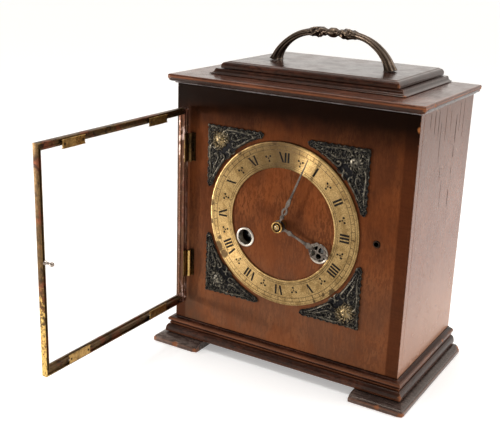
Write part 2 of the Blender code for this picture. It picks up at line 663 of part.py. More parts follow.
CENTRE = (0.0, 0.0)
GOING_BARREL, STRIKE_BARREL = (WINDING_X, WINDING_Z), (-WINDING_X, WINDING_Z)
GREAT_TEETH, GREAT_MODULE = 48, 1.125
SECOND_TEETH, SECOND_MODULE = 48, 0.875
STRIKE_SECOND_TEETH = 36
LEAVES = 8                      # second and centre pinions
CENTRE_TEETH, CENTRE_MODULE, THIRD_LEAVES = 72, 0.5, 6
THIRD_TEETH, THIRD_MODULE, ESCAPE_LEAVES = 72, 0.4, 6
ESCAPE_TEETH = 35
PIN_LEAVES, PIN_TEETH, PIN_MODULE, FLY_LEAVES = 6, 54, 0.45, 6
CANNON_LEAVES, MINUTE_TEETH, MINUTE_MODULE = 12, 36, 0.6
MINUTE_LEAVES, HOUR_TEETH = 10, 40
MOTION_REACH = (CANNON_LEAVES + MINUTE_TEETH) / 2 * MINUTE_MODULE
HOUR_MODULE = MOTION_REACH * 2 / (MINUTE_LEAVES + HOUR_TEETH)

GREAT_REACH = (GREAT_TEETH + LEAVES) / 2 * GREAT_MODULE
SECOND_REACH = (SECOND_TEETH + LEAVES) / 2 * SECOND_MODULE
GOING_SECOND = meeting_point(GOING_BARREL, CENTRE, GREAT_REACH, SECOND_REACH, -1)
STRIKE_SECOND = (-GOING_SECOND[0], GOING_SECOND[1])
ESCAPE = (0.0, ESCAPE_Z - DIAL_Z)
THIRD = meeting_point(CENTRE, ESCAPE, (CENTRE_TEETH + THIRD_LEAVES) / 2 * CENTRE_MODULE,
                      (THIRD_TEETH + ESCAPE_LEAVES) / 2 * THIRD_MODULE, 1)
ANCHOR = (0.0, PENDULUM_Z - DIAL_Z)
PIN_REACH = (STRIKE_SECOND_TEETH + PIN_LEAVES) / 2 * SECOND_MODULE
FLY_REACH = (PIN_TEETH + FLY_LEAVES) / 2 * PIN_MODULE
PIN_WHEEL = (STRIKE_SECOND[0] - 1.7, STRIKE_SECOND[1] + math.sqrt(PIN_REACH ** 2 - 1.7 ** 2))
FLY = (PIN_WHEEL[0] + FLY_REACH * math.sqrt(0.5), PIN_WHEEL[1] + FLY_REACH * math.sqrt(0.5))
MINUTE_ARBOR = (0.0, -MOTION_REACH)
HAMMER = (-52.0, 16.0)

# Planes that both trains share, along Y
GREAT_PLANE, GREAT_PINION_PLANE = (47.0, 49.5), (45.5, 51.0)
SECOND_PLANE, SECOND_PINION_PLANE = (21.5, 23.0), (20.4, 24.0)


def world_xz(arbor):
    return (DIAL_X + arbor[0], DIAL_Z + arbor[1])


def fit_arbor(wheel, arbor, y_from=PIVOT_ENDS[0], y_to=PIVOT_ENDS[1], radius=PIVOT_R):
    x, z = world_xz(arbor)
    staff = rod_y(wheel.name + "_arbor", x, z, radius, y_from, y_to, None, cutter=True)
    return boolean(wheel, staff, "UNION")


def fit_pinion(wheel, arbor, leaves, module, toward, y_from, y_to, **shape):
    outline = gear_outline(leaves, module, direction(arbor, toward), False, **shape)
    pinion = flat(f"{wheel.name}_pinion_{leaves}", [outline], y_from, y_to, None, at=world_xz(arbor),
                  cutter=True)
    return boolean(wheel, pinion, "UNION")


def wheel_disc(name, arbor, teeth, module, toward, y_from, y_to, spokes=4, hub=0.22, **shape):
    pitch_r = teeth * module / 2
    outlines = [gear_outline(teeth, module, direction(arbor, toward), True, **shape)]
    if spokes:
        outlines += crossings(pitch_r * hub, pitch_r - 2.4 * module - 1.0, spokes, 0.9)
    return flat(name, outlines, y_from, y_to, "movement_brass", at=world_xz(arbor))


def make_barrels():
    for name, arbor, second in (("going_barrel", GOING_BARREL, GOING_SECOND),
                                ("strike_barrel", STRIKE_BARREL, STRIKE_SECOND)):
        barrel = wheel_disc(name, arbor, GREAT_TEETH, GREAT_MODULE, second, *GREAT_PLANE, spokes=0)
        x, z = world_xz(arbor)
        profile = [(0, 47.6), (BARREL_R, 47.6), (BARREL_R, 26.2), (BARREL_R - 1.0, 25.2), (0, 25.2)]
        drum = turned(name + "_drum", profile, (x, 0, z), None, 28, cutter=True)
        boolean(barrel, drum, "UNION")
        boolean(barrel, rod_y(name + "_bore", x, z, 2.3, 20.0, 55.0, None, 16, cutter=True))
    for name, arbor in (("going_winding_arbor", GOING_BARREL), ("strike_winding_arbor", STRIKE_BARREL)):
        ratchet = gear_outline(18, 1.0, 0, True, fill=0.8, addendum=0.5, dedendum=0.5)
        winder = flat(name, [ratchet], 13.4, 15.4, "steel", at=world_xz(arbor))
        fit_arbor(winder, arbor, 14.0, PIVOT_ENDS[1], 2.0)
        half = 2.1
        square = [(-half, -half), (half, -half), (half, half), (-half, half)]
        key_end = flat(name + "_square", [square], 8.0, 14.4, None, at=world_xz(arbor), cutter=True)
        boolean(winder, key_end, "UNION")


def make_going_train():
    second = wheel_disc("going_second_wheel", GOING_SECOND, SECOND_TEETH, SECOND_MODULE, CENTRE,
                        *SECOND_PLANE)
    fit_pinion(second, GOING_SECOND, LEAVES, GREAT_MODULE, GOING_BARREL, *GREAT_PINION_PLANE, **PINION)
    fit_arbor(second, GOING_SECOND)

    centre = wheel_disc("centre_wheel", CENTRE, CENTRE_TEETH, CENTRE_MODULE, THIRD, 51.0, 52.5)
    fit_pinion(centre, CENTRE, LEAVES, SECOND_MODULE, GOING_SECOND, *SECOND_PINION_PLANE, **PINION)
    fit_arbor(centre, CENTRE, -10.2, PIVOT_ENDS[1])

    third = wheel_disc("third_wheel", THIRD, THIRD_TEETH, THIRD_MODULE, ESCAPE, 39.0, 40.2)
    fit_pinion(third, THIRD, THIRD_LEAVES, CENTRE_MODULE, CENTRE, 49.9, 53.6, **SMALL_PINION)
    fit_arbor(third, THIRD, radius=0.8)

    root_r = ESCAPE_R - 1.6
    outline = []
    for i in range(ESCAPE_TEETH):
        for share, radius in ((0.0, ESCAPE_R), (0.12, ESCAPE_R), (0.45, root_r), (0.92, root_r)):
            angle = math.radians(90 + (i + share) * 360 / ESCAPE_TEETH)
            outline.append((radius * math.cos(angle), radius * math.sin(angle)))
    escape = flat("escape_wheel", [outline] + crossings(2.6, 6.6, 4, 0.7), 53.5, 54.5, "movement_brass",
                  at=world_xz(ESCAPE))
    fit_pinion(escape, ESCAPE, ESCAPE_LEAVES, THIRD_MODULE, THIRD, 37.6, 41.4, **SMALL_PINION)
    fit_arbor(escape, ESCAPE, radius=0.7)


def make_motion_work():
    leaves = gear_outline(CANNON_LEAVES, MINUTE_MODULE, -90, False, **PINION)
    cannon = flat("cannon_pinion", [leaves], 13.8, 16.2, "movement_brass", at=world_xz(CENTRE))
    x, z = world_xz(CENTRE)
    boolean(cannon, rod_y("cannon_pipe", x, z, 1.9, -8.3, 16.0, None, cutter=True), "UNION")
    boolean(cannon, rod_y("cannon_bore", x, z, PIVOT_HOLE_R, -12.0, 20.0, None, cutter=True))

    minute = wheel_disc("minute_wheel", MINUTE_ARBOR, MINUTE_TEETH, MINUTE_MODULE, CENTRE, 14.2, 15.8)
    fit_pinion(minute, MINUTE_ARBOR, MINUTE_LEAVES, HOUR_MODULE, CENTRE, 9.9, 13.2, **PINION)
    fit_arbor(minute, MINUTE_ARBOR, 9.0, 18.7, 1.0)

    hour = wheel_disc("hour_wheel", CENTRE, HOUR_TEETH, HOUR_MODULE, MINUTE_ARBOR, 10.6, 12.3, hub=0.42)
    pipe = [(0, 12.0), (3.2, 12.0), (3.2, -0.8), (4.6, -0.8), (4.6, -4.4), (3.2, -4.4), (3.2, -6.6),
            (0, -6.6)]
    boolean(hour, turned("hour_pipe", pipe, (x, 0, z), None, 18, cutter=True), "UNION")
    boolean(hour, rod_y("hour_bore", x, z, 2.25, -10.0, 20.0, None, 14, cutter=True))


def make_strike_train():
    second = wheel_disc("strike_second_wheel", STRIKE_SECOND, STRIKE_SECOND_TEETH, SECOND_MODULE, PIN_WHEEL,
                        *SECOND_PLANE)
    fit_pinion(second, STRIKE_SECOND, LEAVES, GREAT_MODULE, STRIKE_BARREL, *GREAT_PINION_PLANE, **PINION)
    fit_arbor(second, STRIKE_SECOND)

    pin_wheel = wheel_disc("strike_pin_wheel", PIN_WHEEL, PIN_TEETH, PIN_MODULE, FLY, 32.0, 33.2)
    fit_pinion(pin_wheel, PIN_WHEEL, PIN_LEAVES, SECOND_MODULE, STRIKE_SECOND, *SECOND_PINION_PLANE,
               **PINION)
    fit_arbor(pin_wheel, PIN_WHEEL)
    pin_circle = 10.1
    for i, (px, pz) in enumerate(circle(0, 0, pin_circle, 8, 22.5)):
        x, z = world_xz((PIN_WHEEL[0] + px, PIN_WHEEL[1] + pz))
        boolean(pin_wheel, rod_y(f"lifting_pin_{i}", x, z, 0.5, 32.6, 36.5, None, 8, cutter=True), "UNION")

    x, z = world_xz(FLY)
    fly = box("strike_fly", (x - 9.0, 42.0, z - 0.4), (x + 9.0, 51.0, z + 0.4), "movement_brass")
    fit_pinion(fly, FLY, FLY_LEAVES, PIN_MODULE, PIN_WHEEL, 30.6, 34.6, **SMALL_PINION)
    fit_arbor(fly, FLY, radius=0.8)


def make_hammer():
    x, z = world_xz(HAMMER)
    hammer = rod_y("strike_hammer", x, z, 1.2, PIVOT_ENDS[0], 64.0, "steel")
    head_x, head_y, head_z = DIAL_X - 45.6, 97.0, 84.0
    arm = [(x, 62.9, z + 0.6), (x, 63.6, z - 6.0), (x + 1.0, 68.0, z - 14.0), (x + 3.0, 92.0, z - 38.0),
           (head_x, head_y, head_z + 12.0), (head_x, head_y, head_z - 1.0)]
    boolean(hammer, tube("hammer_arm", arm, 1.0, None, sides=1, cutter=True), "UNION")
    profile = [(0, 4.0), (2.6, 4.0), (3.2, 3.2), (3.2, -3.2), (2.6, -4.0), (0, -4.0)]
    head = turned("hammer_head", profile, (head_x, head_y, head_z), None, 14, axis="X", cutter=True)
    boolean(hammer, head, "UNION")
    tail_from, tail_to = (0.0, 0.0), (15.4, 8.4)
    half = 0.9
    outline = [(tail_from[0] - half, tail_from[1] + half), (tail_from[0] + half, tail_from[1] - half),
               (tail_to[0], tail_to[1] - half), (tail_to[0], tail_to[1] + half)]
    boolean(hammer, flat("hammer_tail", [outline], 34.0, 36.0, None, at=(x, z), cutter=True), "UNION")


def make_escapement():
    """The anchor stands just clear of the escape wheel, and rocks with the crutch and the pendulum."""
    right_half = [(1.8, 2.2), (10.5, -6.4), (10.3, -9.2), (9.1, -7.8), (5.8, -3.8), (1.6, -2.4)]
    outline = right_half + [(-x, z) for x, z in right_half[::-1]]
    anchor = flat("anchor", [outline], 53.1, 54.9, "steel", at=world_xz(ANCHOR))
    fit_arbor(anchor, ANCHOR, PIVOT_ENDS[0], 66.0, 0.9)
    x, z = world_xz(ANCHOR)
    crutch = [(x, 65.0, z + 1.5), (x, 65.0, z - 38.0)]
    boolean(anchor, tube("crutch", crutch, 0.8, None, sides=1, cutter=True), "UNION")
    low, high = (x - 2.6, 64.4, z - 39.6), (x + 2.6, 72.0, z - 37.2)
    fork = box("crutch_fork", low, high, None, cutter=True)
    boolean(anchor, fork, "UNION")
    slot = box("crutch_slot", (x - 1.9, 67.4, z - 41.0), (x + 1.9, 74.0, z - 36.0), None, cutter=True)
    boolean(anchor, slot)

    rod_y_mid = 70.0
    bob_z = 56.0
    rod_end = bob_z - 18.0 - z
    rod = [(-0.2, 5.0), (-0.2, -2.0), (-1.4, -3.0), (-1.4, rod_end), (1.4, rod_end), (1.4, -3.0), (0.2, -2.0),
           (0.2, 5.0)]
    flat("pendulum_rod", [rod], rod_y_mid - 0.6, rod_y_mid + 0.6, "steel", at=(x, z))
    profile = [(0, 4.0), (5.0, 3.7), (10.0, 2.6), (14.0, 0.8), (14.6, 0.0), (14.0, -0.8), (10.0, -2.6),
               (5.0, -3.7), (0, -4.0)]
    bob = turned("pendulum_bob", profile, (x, rod_y_mid, bob_z), "movement_brass", 20,
                 pivot="pendulum")
    slot_low, slot_high = (x - 1.7, rod_y_mid - 0.9, bob_z - 30), (x + 1.7, rod_y_mid + 0.9, bob_z + 30)
    passage = box("bob_passage", slot_low, slot_high, None, cutter=True, pivot="pendulum")
    boolean(bob, passage)


def make_plates():
    x0, x1, z0, z1 = PLATE_BOX
    corner = 6.0
    outline = [(x0 + corner, z0), (x1 - corner, z0), (x1, z0 + corner), (x1, z1 - corner),
               (x1 - corner, z1), (x0 + corner, z1), (x0, z1 - corner), (x0, z0 + corner)]
    common = [GOING_SECOND, STRIKE_SECOND, CENTRE, PIN_WHEEL]
    holes = [circle(*arbor, PIVOT_HOLE_R, 8) for arbor in common]
    holes += [circle(*arbor, 1.2, 8) for arbor in (ANCHOR, THIRD, ESCAPE, FLY)]
    holes += [circle(*arbor, 2.4, 10, 11.0) for arbor in (GOING_BARREL, STRIKE_BARREL)]
    holes += [circle(*HAMMER, 1.5, 8)]
    middle = (DIAL_X, DIAL_Z)
    stud_hole = circle(*MINUTE_ARBOR, 1.3, 8)
    front = flat("front_plate", [outline] + holes + [stud_hole], *FRONT_PLATE, "movement_brass", at=middle)
    back = flat("back_plate", [outline] + holes, *BACK_PLATE, "movement_brass", at=middle)
    for i, pillar in enumerate(PILLARS):
        x, z = world_xz(pillar)
        foot = rod_y(f"plate_foot_{i}", x, z, 3.0, PANEL_THICK + GAP, FRONT_PLATE[0] + 0.5, None,
                     cutter=True)
        boolean(front, foot, "UNION")
        y_low, y_high = FRONT_PLATE[1] + GAP, BACK_PLATE[1] + 1.2
        profile = [(0, y_high), (2.2, y_high), (2.6, 58.5), (3.4, 56.0), (2.6, 53.0), (2.6, 25.0),
                   (3.4, 22.0), (2.6, y_low), (0, y_low)]
        boolean(back, turned(f"pillar_{i}", profile, (x, 0, z), None, 10, cutter=True), "UNION")
    x, z = world_xz(ANCHOR)
    cock = box("pendulum_cock", (x - 5.0, BACK_PLATE[1] - 0.5, z + 2.6), (x + 5.0, 74.0, z + 9.0), None,
               cutter=True)
    boolean(back, cock, "UNION")
    slot = box("suspension_slot", (x - 0.9, 69.0, z + 1.0), (x + 0.9, 71.0, z + 6.4), None, cutter=True)
    boolean(back, slot)


def make_gong():
    x, z, y = DIAL_X, 84.0, 98.0
    turns, start_r, end_r = 2.5, 9.0, 38.5
    steps = 40
    points = []
    for i in range(steps + 1):
        share = i / steps
        angle = math.radians(90 + 360 * turns * share)
        radius = start_r + (end_r - start_r) * share
        points.append((radius * math.cos(angle), 0, radius * math.sin(angle)))
    points = [(0, 0, 5.4), (0, 0, 7.6)] + points[1:]
    tube("gong_coil", points, 1.4, "blued_steel", sides=1, at=(x, y, z))
    block = box("gong_block", (x - 9.0, 101.5, BASE_TOP + GAP), (x + 9.0, 109.5, z + 7.0), "cast_iron",
                bevel=1.0)
    foot = box("gong_foot", (x - 20.0, 96.0, BASE_TOP + GAP), (x + 20.0, 112.0, BASE_TOP + 6.0), None,
               cutter=True)
    boolean(block, foot, "UNION")
    boolean(block, rod_y("gong_boss", x, z, 5.0, 95.0, 104.0, None, 16, cutter=True), "UNION")


def main():
    make_pivots()
    make_case()
    make_handle()
    make_dial()
    make_hands()
    make_front_door()
    make_back_door()
    make_plates()
    make_barrels()
    make_going_train()
    make_motion_work()
    make_strike_train()
    make_hammer()
    make_escapement()
    make_gong()


main()
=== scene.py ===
"""A mahogany mantel clock with its glazed front door open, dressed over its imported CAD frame.

Lengths below are case millimetres: x to the right, y back from the front board's face, z up.
"""

import json
import math

import bmesh
import bpy
from mathutils import Matrix, Vector, noise


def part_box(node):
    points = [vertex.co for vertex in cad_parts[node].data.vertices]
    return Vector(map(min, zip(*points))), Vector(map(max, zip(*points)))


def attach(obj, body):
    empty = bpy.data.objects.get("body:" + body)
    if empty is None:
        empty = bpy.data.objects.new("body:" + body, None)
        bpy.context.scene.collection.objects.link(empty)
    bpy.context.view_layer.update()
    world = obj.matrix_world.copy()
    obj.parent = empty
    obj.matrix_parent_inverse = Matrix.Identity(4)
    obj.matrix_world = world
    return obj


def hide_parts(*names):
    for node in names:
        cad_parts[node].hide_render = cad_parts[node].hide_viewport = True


MM = 0.001
WELD = 0.000001

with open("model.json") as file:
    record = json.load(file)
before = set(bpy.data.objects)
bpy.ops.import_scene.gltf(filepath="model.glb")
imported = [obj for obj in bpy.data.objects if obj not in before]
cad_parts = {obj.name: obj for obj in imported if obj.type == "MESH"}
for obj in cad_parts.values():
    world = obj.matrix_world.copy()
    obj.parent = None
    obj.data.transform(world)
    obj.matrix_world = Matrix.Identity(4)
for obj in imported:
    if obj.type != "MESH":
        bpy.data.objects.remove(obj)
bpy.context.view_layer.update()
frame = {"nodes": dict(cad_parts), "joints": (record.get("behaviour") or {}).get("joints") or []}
JOINTS = {joint["name"]: joint for joint in frame["joints"]}
FACE_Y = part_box("front_panel")[0].y


# ---------------------------------------------------------------- places, read from the frame

def at(x, y, z):
    """A point in case millimetres, as metres in the row frame."""
    return Vector((x * MM, FACE_Y + y * MM, z * MM))


def span(node):
    """Lowest and highest corner of a CAD node, in case millimetres."""
    shift = Vector((0, FACE_Y, 0))
    low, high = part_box(node)
    return (low - shift) / MM, (high - shift) / MM


def middle(node):
    """The middle of a CAD node's box, in case millimetres."""
    low, high = span(node)
    return (low + high) / 2


def pivot(joint):
    """A joint's position in case millimetres."""
    return (Vector(JOINTS[joint]["pos_m"]) - Vector((0, FACE_Y, 0))) / MM


BODY_LOW, BODY_HIGH = span("side_right")
HALF = span("front_panel")[1].x
DEPTH = BODY_HIGH.y
RING_LOW, RING_HIGH = span("chapter_ring")
DIAL = (RING_LOW + RING_HIGH) / 2
RING_OUTER = (RING_HIGH.x - RING_LOW.x) / 2
RING_INNER = RING_OUTER * 0.687


# ---------------------------------------------------------------- materials

def srgb(red, green, blue):
    """A linear colour from the usual numbers up to 255."""
    def linear(value):
        value /= 255
        return value / 12.92 if value <= 0.04045 else ((value + 0.055) / 1.055) ** 2.4
    return (linear(red), linear(green), linear(blue), 1.0)


class Shader:
    """A material's node tree. Each method adds a node and returns the socket with its result."""

    def __init__(self, name):
        self.material = bpy.data.materials.new(name)
        self.material.use_nodes = True
        self.nodes = self.material.node_tree.nodes
        self.links = self.material.node_tree.links
        self.surface = self.nodes["Principled BSDF"]
        self.object = self.nodes.new("ShaderNodeTexCoord").outputs["Object"]
        self.mm = self.stretched()

    def feed(self, socket, value):
        if isinstance(value, bpy.types.NodeSocket):
            self.links.new(value, socket)
        else:
            socket.default_value = value

    def add(self, kind, inputs, **settings):
        made = self.nodes.new(kind)
        for setting, value in settings.items():
            setattr(made, setting, value)
        for socket, value in inputs.items():
            self.feed(made.inputs[socket], value)
        return made

    def stretched(self, x=1.0, y=1.0, z=1.0, turn=(0, 0, 0)):
        """Object coordinates in millimetres; below 1 stretches a pattern along that axis."""
        turned_space = self.add("ShaderNodeMapping", {"Vector": self.object, "Rotation": turn})
        scale = {"Vector": turned_space.outputs[0], "Scale": (x / MM, y / MM, z / MM)}
        return self.add("ShaderNodeMapping", scale).outputs[0]

    def noise(self, size, where=None, detail=3.0, rough=0.55, warp=0.0):
        inputs = {"Vector": where or self.mm, "Scale": 1 / size, "Detail": detail,
                  "Roughness": rough, "Distortion": warp}
        return self.add("ShaderNodeTexNoise", inputs).outputs[0]

    def cells(self, size):
        """Distance from scattered points, as a share of size."""
        inputs = {"Vector": self.mm, "Scale": 1 / size}
        return self.add("ShaderNodeTexVoronoi", inputs).outputs["Distance"]

    def ramp(self, value, stops):
        """Stops are (position, grey) in rising order, the first at 0 and the last at 1."""
        node = self.add("ShaderNodeValToRGB", {"Fac": value})
        elements = node.color_ramp.elements
        for stop in stops[1:-1]:
            elements.new(stop[0])
        for element, stop in zip(elements, stops):
            element.color = (stop[1], stop[1], stop[1], 1.0)
        return node.outputs[0]

    def scale(self, value, low, high, to_low=0.0, to_high=1.0):
        """value, from low to high, as a smooth step from to_low to to_high."""
        inputs = {"Value": value, "From Min": low, "From Max": high, "To Min": to_low, "To Max": to_high}
        return self.add("ShaderNodeMapRange", inputs, interpolation_type="SMOOTHSTEP").outputs[0]

    def mix(self, share, first, second):
        """A colour between two others: sockets, (red, green, blue) tones up to 255, or linear colours."""
        inputs = {0: share, 6: first, 7: second}
        for socket in (6, 7):
            if isinstance(inputs[socket], tuple) and len(inputs[socket]) == 3:
                inputs[socket] = srgb(*inputs[socket])
        return self.add("ShaderNodeMix", inputs, data_type="RGBA").outputs[2]

    def stain(self, color, tone, value, low, high, to_low, to_high):
        """Lays a tone over color; its share goes from to_low to to_high as value goes from low to high."""
        return self.mix(self.scale(value, low, high, to_low, to_high), color, tone)

    def math(self, operation, first, second=0.0):
        return self.add("ShaderNodeMath", {0: first, 1: second}, operation=operation).outputs[0]

    def plus(self, first, second):
        return self.math("ADD", first, second)

    def times(self, first, second):
        return self.math("MULTIPLY", first, second)

    def ragged(self, value, amount, size, where=None, detail=3.0):
        """A measure made uneven by up to amount."""
        return self.plus(value, self.times(self.noise(size, where, detail), amount))

    def axis(self, name):
        """One object coordinate in millimetres."""
        return self.add("ShaderNodeSeparateXYZ", {0: self.mm}).outputs[name]

    def near(self, x, y, z):
        """Distance in millimetres from a point of the case."""
        inputs = {0: self.object, 1: at(x, y, z)}
        metres = self.add("ShaderNodeVectorMath", inputs, operation="DISTANCE").outputs["Value"]
        return self.math("DIVIDE", metres, MM)

    def mark(self, name):
        """A value painted on the mesh, 0 where there is none."""
        return self.add("ShaderNodeAttribute", {}, attribute_name=name).outputs["Fac"]

    def bump(self, height, strength, depth_mm, under=None):
        inputs = {"Height": height, "Strength": strength, "Distance": depth_mm * MM}
        if under:
            inputs["Normal"] = under
        return self.add("ShaderNodeBump", inputs).outputs[0]

    def finish(self, color, roughness, metallic=0.0, normal=None, **constants):
        self.feed(self.surface.inputs["Base Color"], color)
        self.feed(self.surface.inputs["Roughness"], roughness)
        self.feed(self.surface.inputs["Metallic"], metallic)
        if normal:
            self.feed(self.surface.inputs["Normal"], normal)
        for socket, value in constants.items():
            self.surface.inputs[socket.replace("_", " ")].default_value = value
        return self.material


WARM_SHEEN = (1.0, 0.86, 0.74, 1.0)


def wood(name, deep, mid, pale, along, gloss, level, grime=0.5, extra=None, glow=0.6):
    """Polished wood. along gives the stretch of the grain; extra may change the colour at the end."""
    shader = Shader(name)
    grain = shader.stretched(*along)
    short_grain = shader.stretched(*[max(part, 0.3) for part in along])
    pore_grain = shader.stretched(*[max(part, 0.14) for part in along])
    fibre = shader.noise(0.9, grain, 3, 0.7)
    pores = shader.scale(shader.noise(0.5, pore_grain, 2, 0.6), 0.58, 0.68)
    color = shader.stain(deep, mid, shader.noise(7, grain, 4, 0.6, 0.6), 0.25, 0.75, 0.0, 0.8)
    color = shader.stain(color, pale, fibre, 0.35, 0.75, 0.0, 0.35)
    color = shader.stain(color, pale, shader.noise(46, detail=2, rough=0.5), 0.42, 0.64, 0.0, glow)
    color = shader.stain(color, deep, shader.noise(1.7, short_grain, 3, 0.7), 0.48, 0.56, 0.0, 0.75)
    color = shader.mix(shader.times(pores, 0.6), color, shader.mix(0.55, deep, (0, 0, 0)))
    color = shader.stain(color, deep, shader.noise(28, detail=3, rough=0.6), 0.42, 0.66, 0.0, grime)
    if extra:
        color = extra(shader, color)
    speck = shader.scale(shader.noise(1.3, detail=4, rough=0.7), 0.30, 0.62, 0.75, 1.0)
    worn = shader.times(shader.mark("wear"), speck)
    color = shader.mix(worn, color, shader.mix(0.6, pale, (140, 84, 52)))
    raw = shader.mark("raw")
    color = shader.mix(raw, color, shader.mix(fibre, (96, 50, 28), (150, 92, 54)))
    smear = shader.scale(shader.noise(16, detail=5, rough=0.65), 0.35, 0.68, *gloss)
    rough = shader.plus(smear, shader.times(raw, 0.4))
    dents = shader.bump(shader.noise(5, detail=2), 0.25, 0.06)
    normal = shader.bump(shader.math("SUBTRACT", fibre, pores), 0.25, 0.03, dents)
    return shader.finish(color, rough, 0.0, normal, Specular_IOR_Level=level, Specular_Tint=WARM_SHEEN)


def metal(name, deep, mid, bright, size, gloss, worn=None, metallic=1.0, dents=0.05, extra=None,
          **constants):
    """Aged metal: mottled tones, a worn tone on painted wear (on the handle and the corner mounts partly a
    painted highlight), uneven gloss and small dents.
    """
    shader = Shader(name)
    mottle = shader.noise(size, detail=5, rough=0.7)
    patch = shader.noise(size * 9, detail=4, rough=0.6, warp=0.4)
    color = shader.stain(mid, bright, mottle, 0.30, 0.70, 0.0, 1.0)
    color = shader.stain(color, deep, patch, 0.46, 0.66, 0.0, 0.8)
    if worn:
        rub = shader.times(shader.mark("wear"), shader.scale(mottle, 0.30, 0.60, 0.2, 1.0))
        color = shader.mix(rub, color, worn)
    if extra:
        color = extra(shader, color)
    rough = shader.scale(patch, 0.35, 0.65, *gloss)
    return shader.finish(color, rough, metallic, shader.bump(mottle, 0.4, dents), **constants)


# ---------------------------------------------------------------- the clock's own materials

def under_the_cornice(shader, color):
    """Painted shade with dark old polish under the overhang, a painted door shadow in the bottom left corner,
    painted shade that darkens the board upwards, crossbanded edges, and veneer lost along the right edge.
    """
    side, height = shader.axis("X"), shader.axis("Z")
    across = shader.math("ABSOLUTE", side)
    left = shader.ragged(side, 14.0, 20, shader.stretched(1, 1, 0.2))
    color = shader.stain(color, (50, 25, 14), left, -HALF + 8, -HALF + 30, 0.65, 0.0)
    # painted shadow of the open door over the bottom left corner
    corner = shader.ragged(shader.near(-HALF, 0, BODY_LOW.z), 14.0, 20)
    color = shader.stain(color, (34, 17, 10), corner, 22, 52, 0.85, 0.0)
    # painted shade: paler and greyer low down, darker higher up, evening out the light from above
    color = shader.stain(color, (138, 104, 82), height, 50, 160, 0.26, 0.0)
    color = shader.stain(color, (62, 38, 26), height, 110, 190, 0.0, 0.28)
    blush = shader.noise(30, shader.stretched(1, 1, 0.6), 4, 0.6)
    color = shader.stain(color, (128, 66, 30), blush, 0.42, 0.62, 0.0, 0.35)
    color = shader.stain(color, (60, 30, 14), side, 40, 80, 0.0, 0.20)
    streak = shader.noise(1.6, shader.stretched(0.08, 1, 1), 3, 0.7)
    banding = shader.mix(streak, (34, 14, 7), (78, 38, 20))
    color = shader.stain(color, banding, across, HALF - 11.5, HALF - 9.5, 0.0, 0.72)
    # painted shade under the cornice's overhang, together with dark old polish
    top = shader.ragged(height, 10.0, 14, detail=4)
    color = shader.stain(color, (16, 6, 3), top, BODY_HIGH.z - 40, BODY_HIGH.z - 4, 0.0, 0.98)
    edge = shader.ragged(across, 2.4, 2.2, detail=4)
    color = shader.stain(color, (118, 72, 48), edge, HALF + 0.7, HALF + 1.1, 0.0, 0.8)
    lost = shader.ragged(shader.near(HALF, 0, BODY_HIGH.z - 11), 3.0, 2.5)
    return shader.stain(color, (158, 98, 56), lost, 3.2, 4.4, 0.9, 0.0)


def shaded_left_end(shader, color):
    """Painted shade that darkens the left end."""
    return shader.stain(color, (18, 11, 9), shader.axis("X"), -HALF - 10, -HALF + 30, 0.7, 0.0)


def shade_under_the_nose(shader, color):
    """Painted shade in the cove below the cornice's worn nose."""
    return shader.stain(color, (24, 12, 9), shader.axis("Z"), 242.2, 243.2, 0.8, 0.0)


def side_tones(shader, color):
    """The side's tones, paler than the front's partly as a painted sheen: darker towards the top and paler
    towards the bottom, with fine short checks, pale scratches and dark knocks.
    """
    height = shader.axis("Z")
    fine = shader.scale(shader.noise(0.8, shader.stretched(1.0, 1.0, 0.05), 2, 0.6), 0.60, 0.68)
    high_up = shader.scale(shader.ragged(height, 50.0, 24), BODY_HIGH.z - 60, BODY_HIGH.z + 6, 0.10, 0.8)
    color = shader.mix(shader.times(fine, high_up), color, (44, 24, 17))
    color = shader.stain(color, (72, 42, 26), height, BODY_HIGH.z - 110, BODY_HIGH.z, 0.0, 0.60)
    color = shader.stain(color, (176, 132, 106), height, BODY_LOW.z, BODY_LOW.z + 110, 0.55, 0.0)
    scratch = shader.noise(1.1, shader.stretched(1.0, 0.06, 1.0, (math.radians(38), 0, 0)), 1, 0.4)
    color = shader.stain(color, (206, 172, 146), scratch, 0.76, 0.79, 0.0, 0.5)
    return shader.stain(color, (52, 28, 20), shader.cells(17), 0.03, 0.06, 0.7, 0.0)


# how much of the dark tone shows at each share of the way round the ring, clockwise from the top; the narrow
# dips near 0.072 and 0.585 are painted highlight streaks
RING_SHADE = ((0.0, 0.92), (0.045, 0.85), (0.072, 0.0), (0.10, 0.55), (0.20, 0.42), (0.34, 0.32),
              (0.46, 0.38),
              (0.555, 0.42), (0.585, 0.08), (0.62, 0.26), (0.76, 0.0), (0.87, 0.25), (0.95, 0.72),
              (1.0, 0.92))
# dark spots on the ring: clock angle, reach from the centre, radius
SPOTS = ((134, 69.5, 3.4), (141, 66.5, 1.6), (150, 68.5, 1.4), (236, 66.0, 3.6), (243, 69.0, 4.6),
         (249, 64.0, 2.0), (276, 70.0, 3.0), (262, 70.0, 2.4), (322, 69.5, 2.0), (352, 69.5, 2.4))


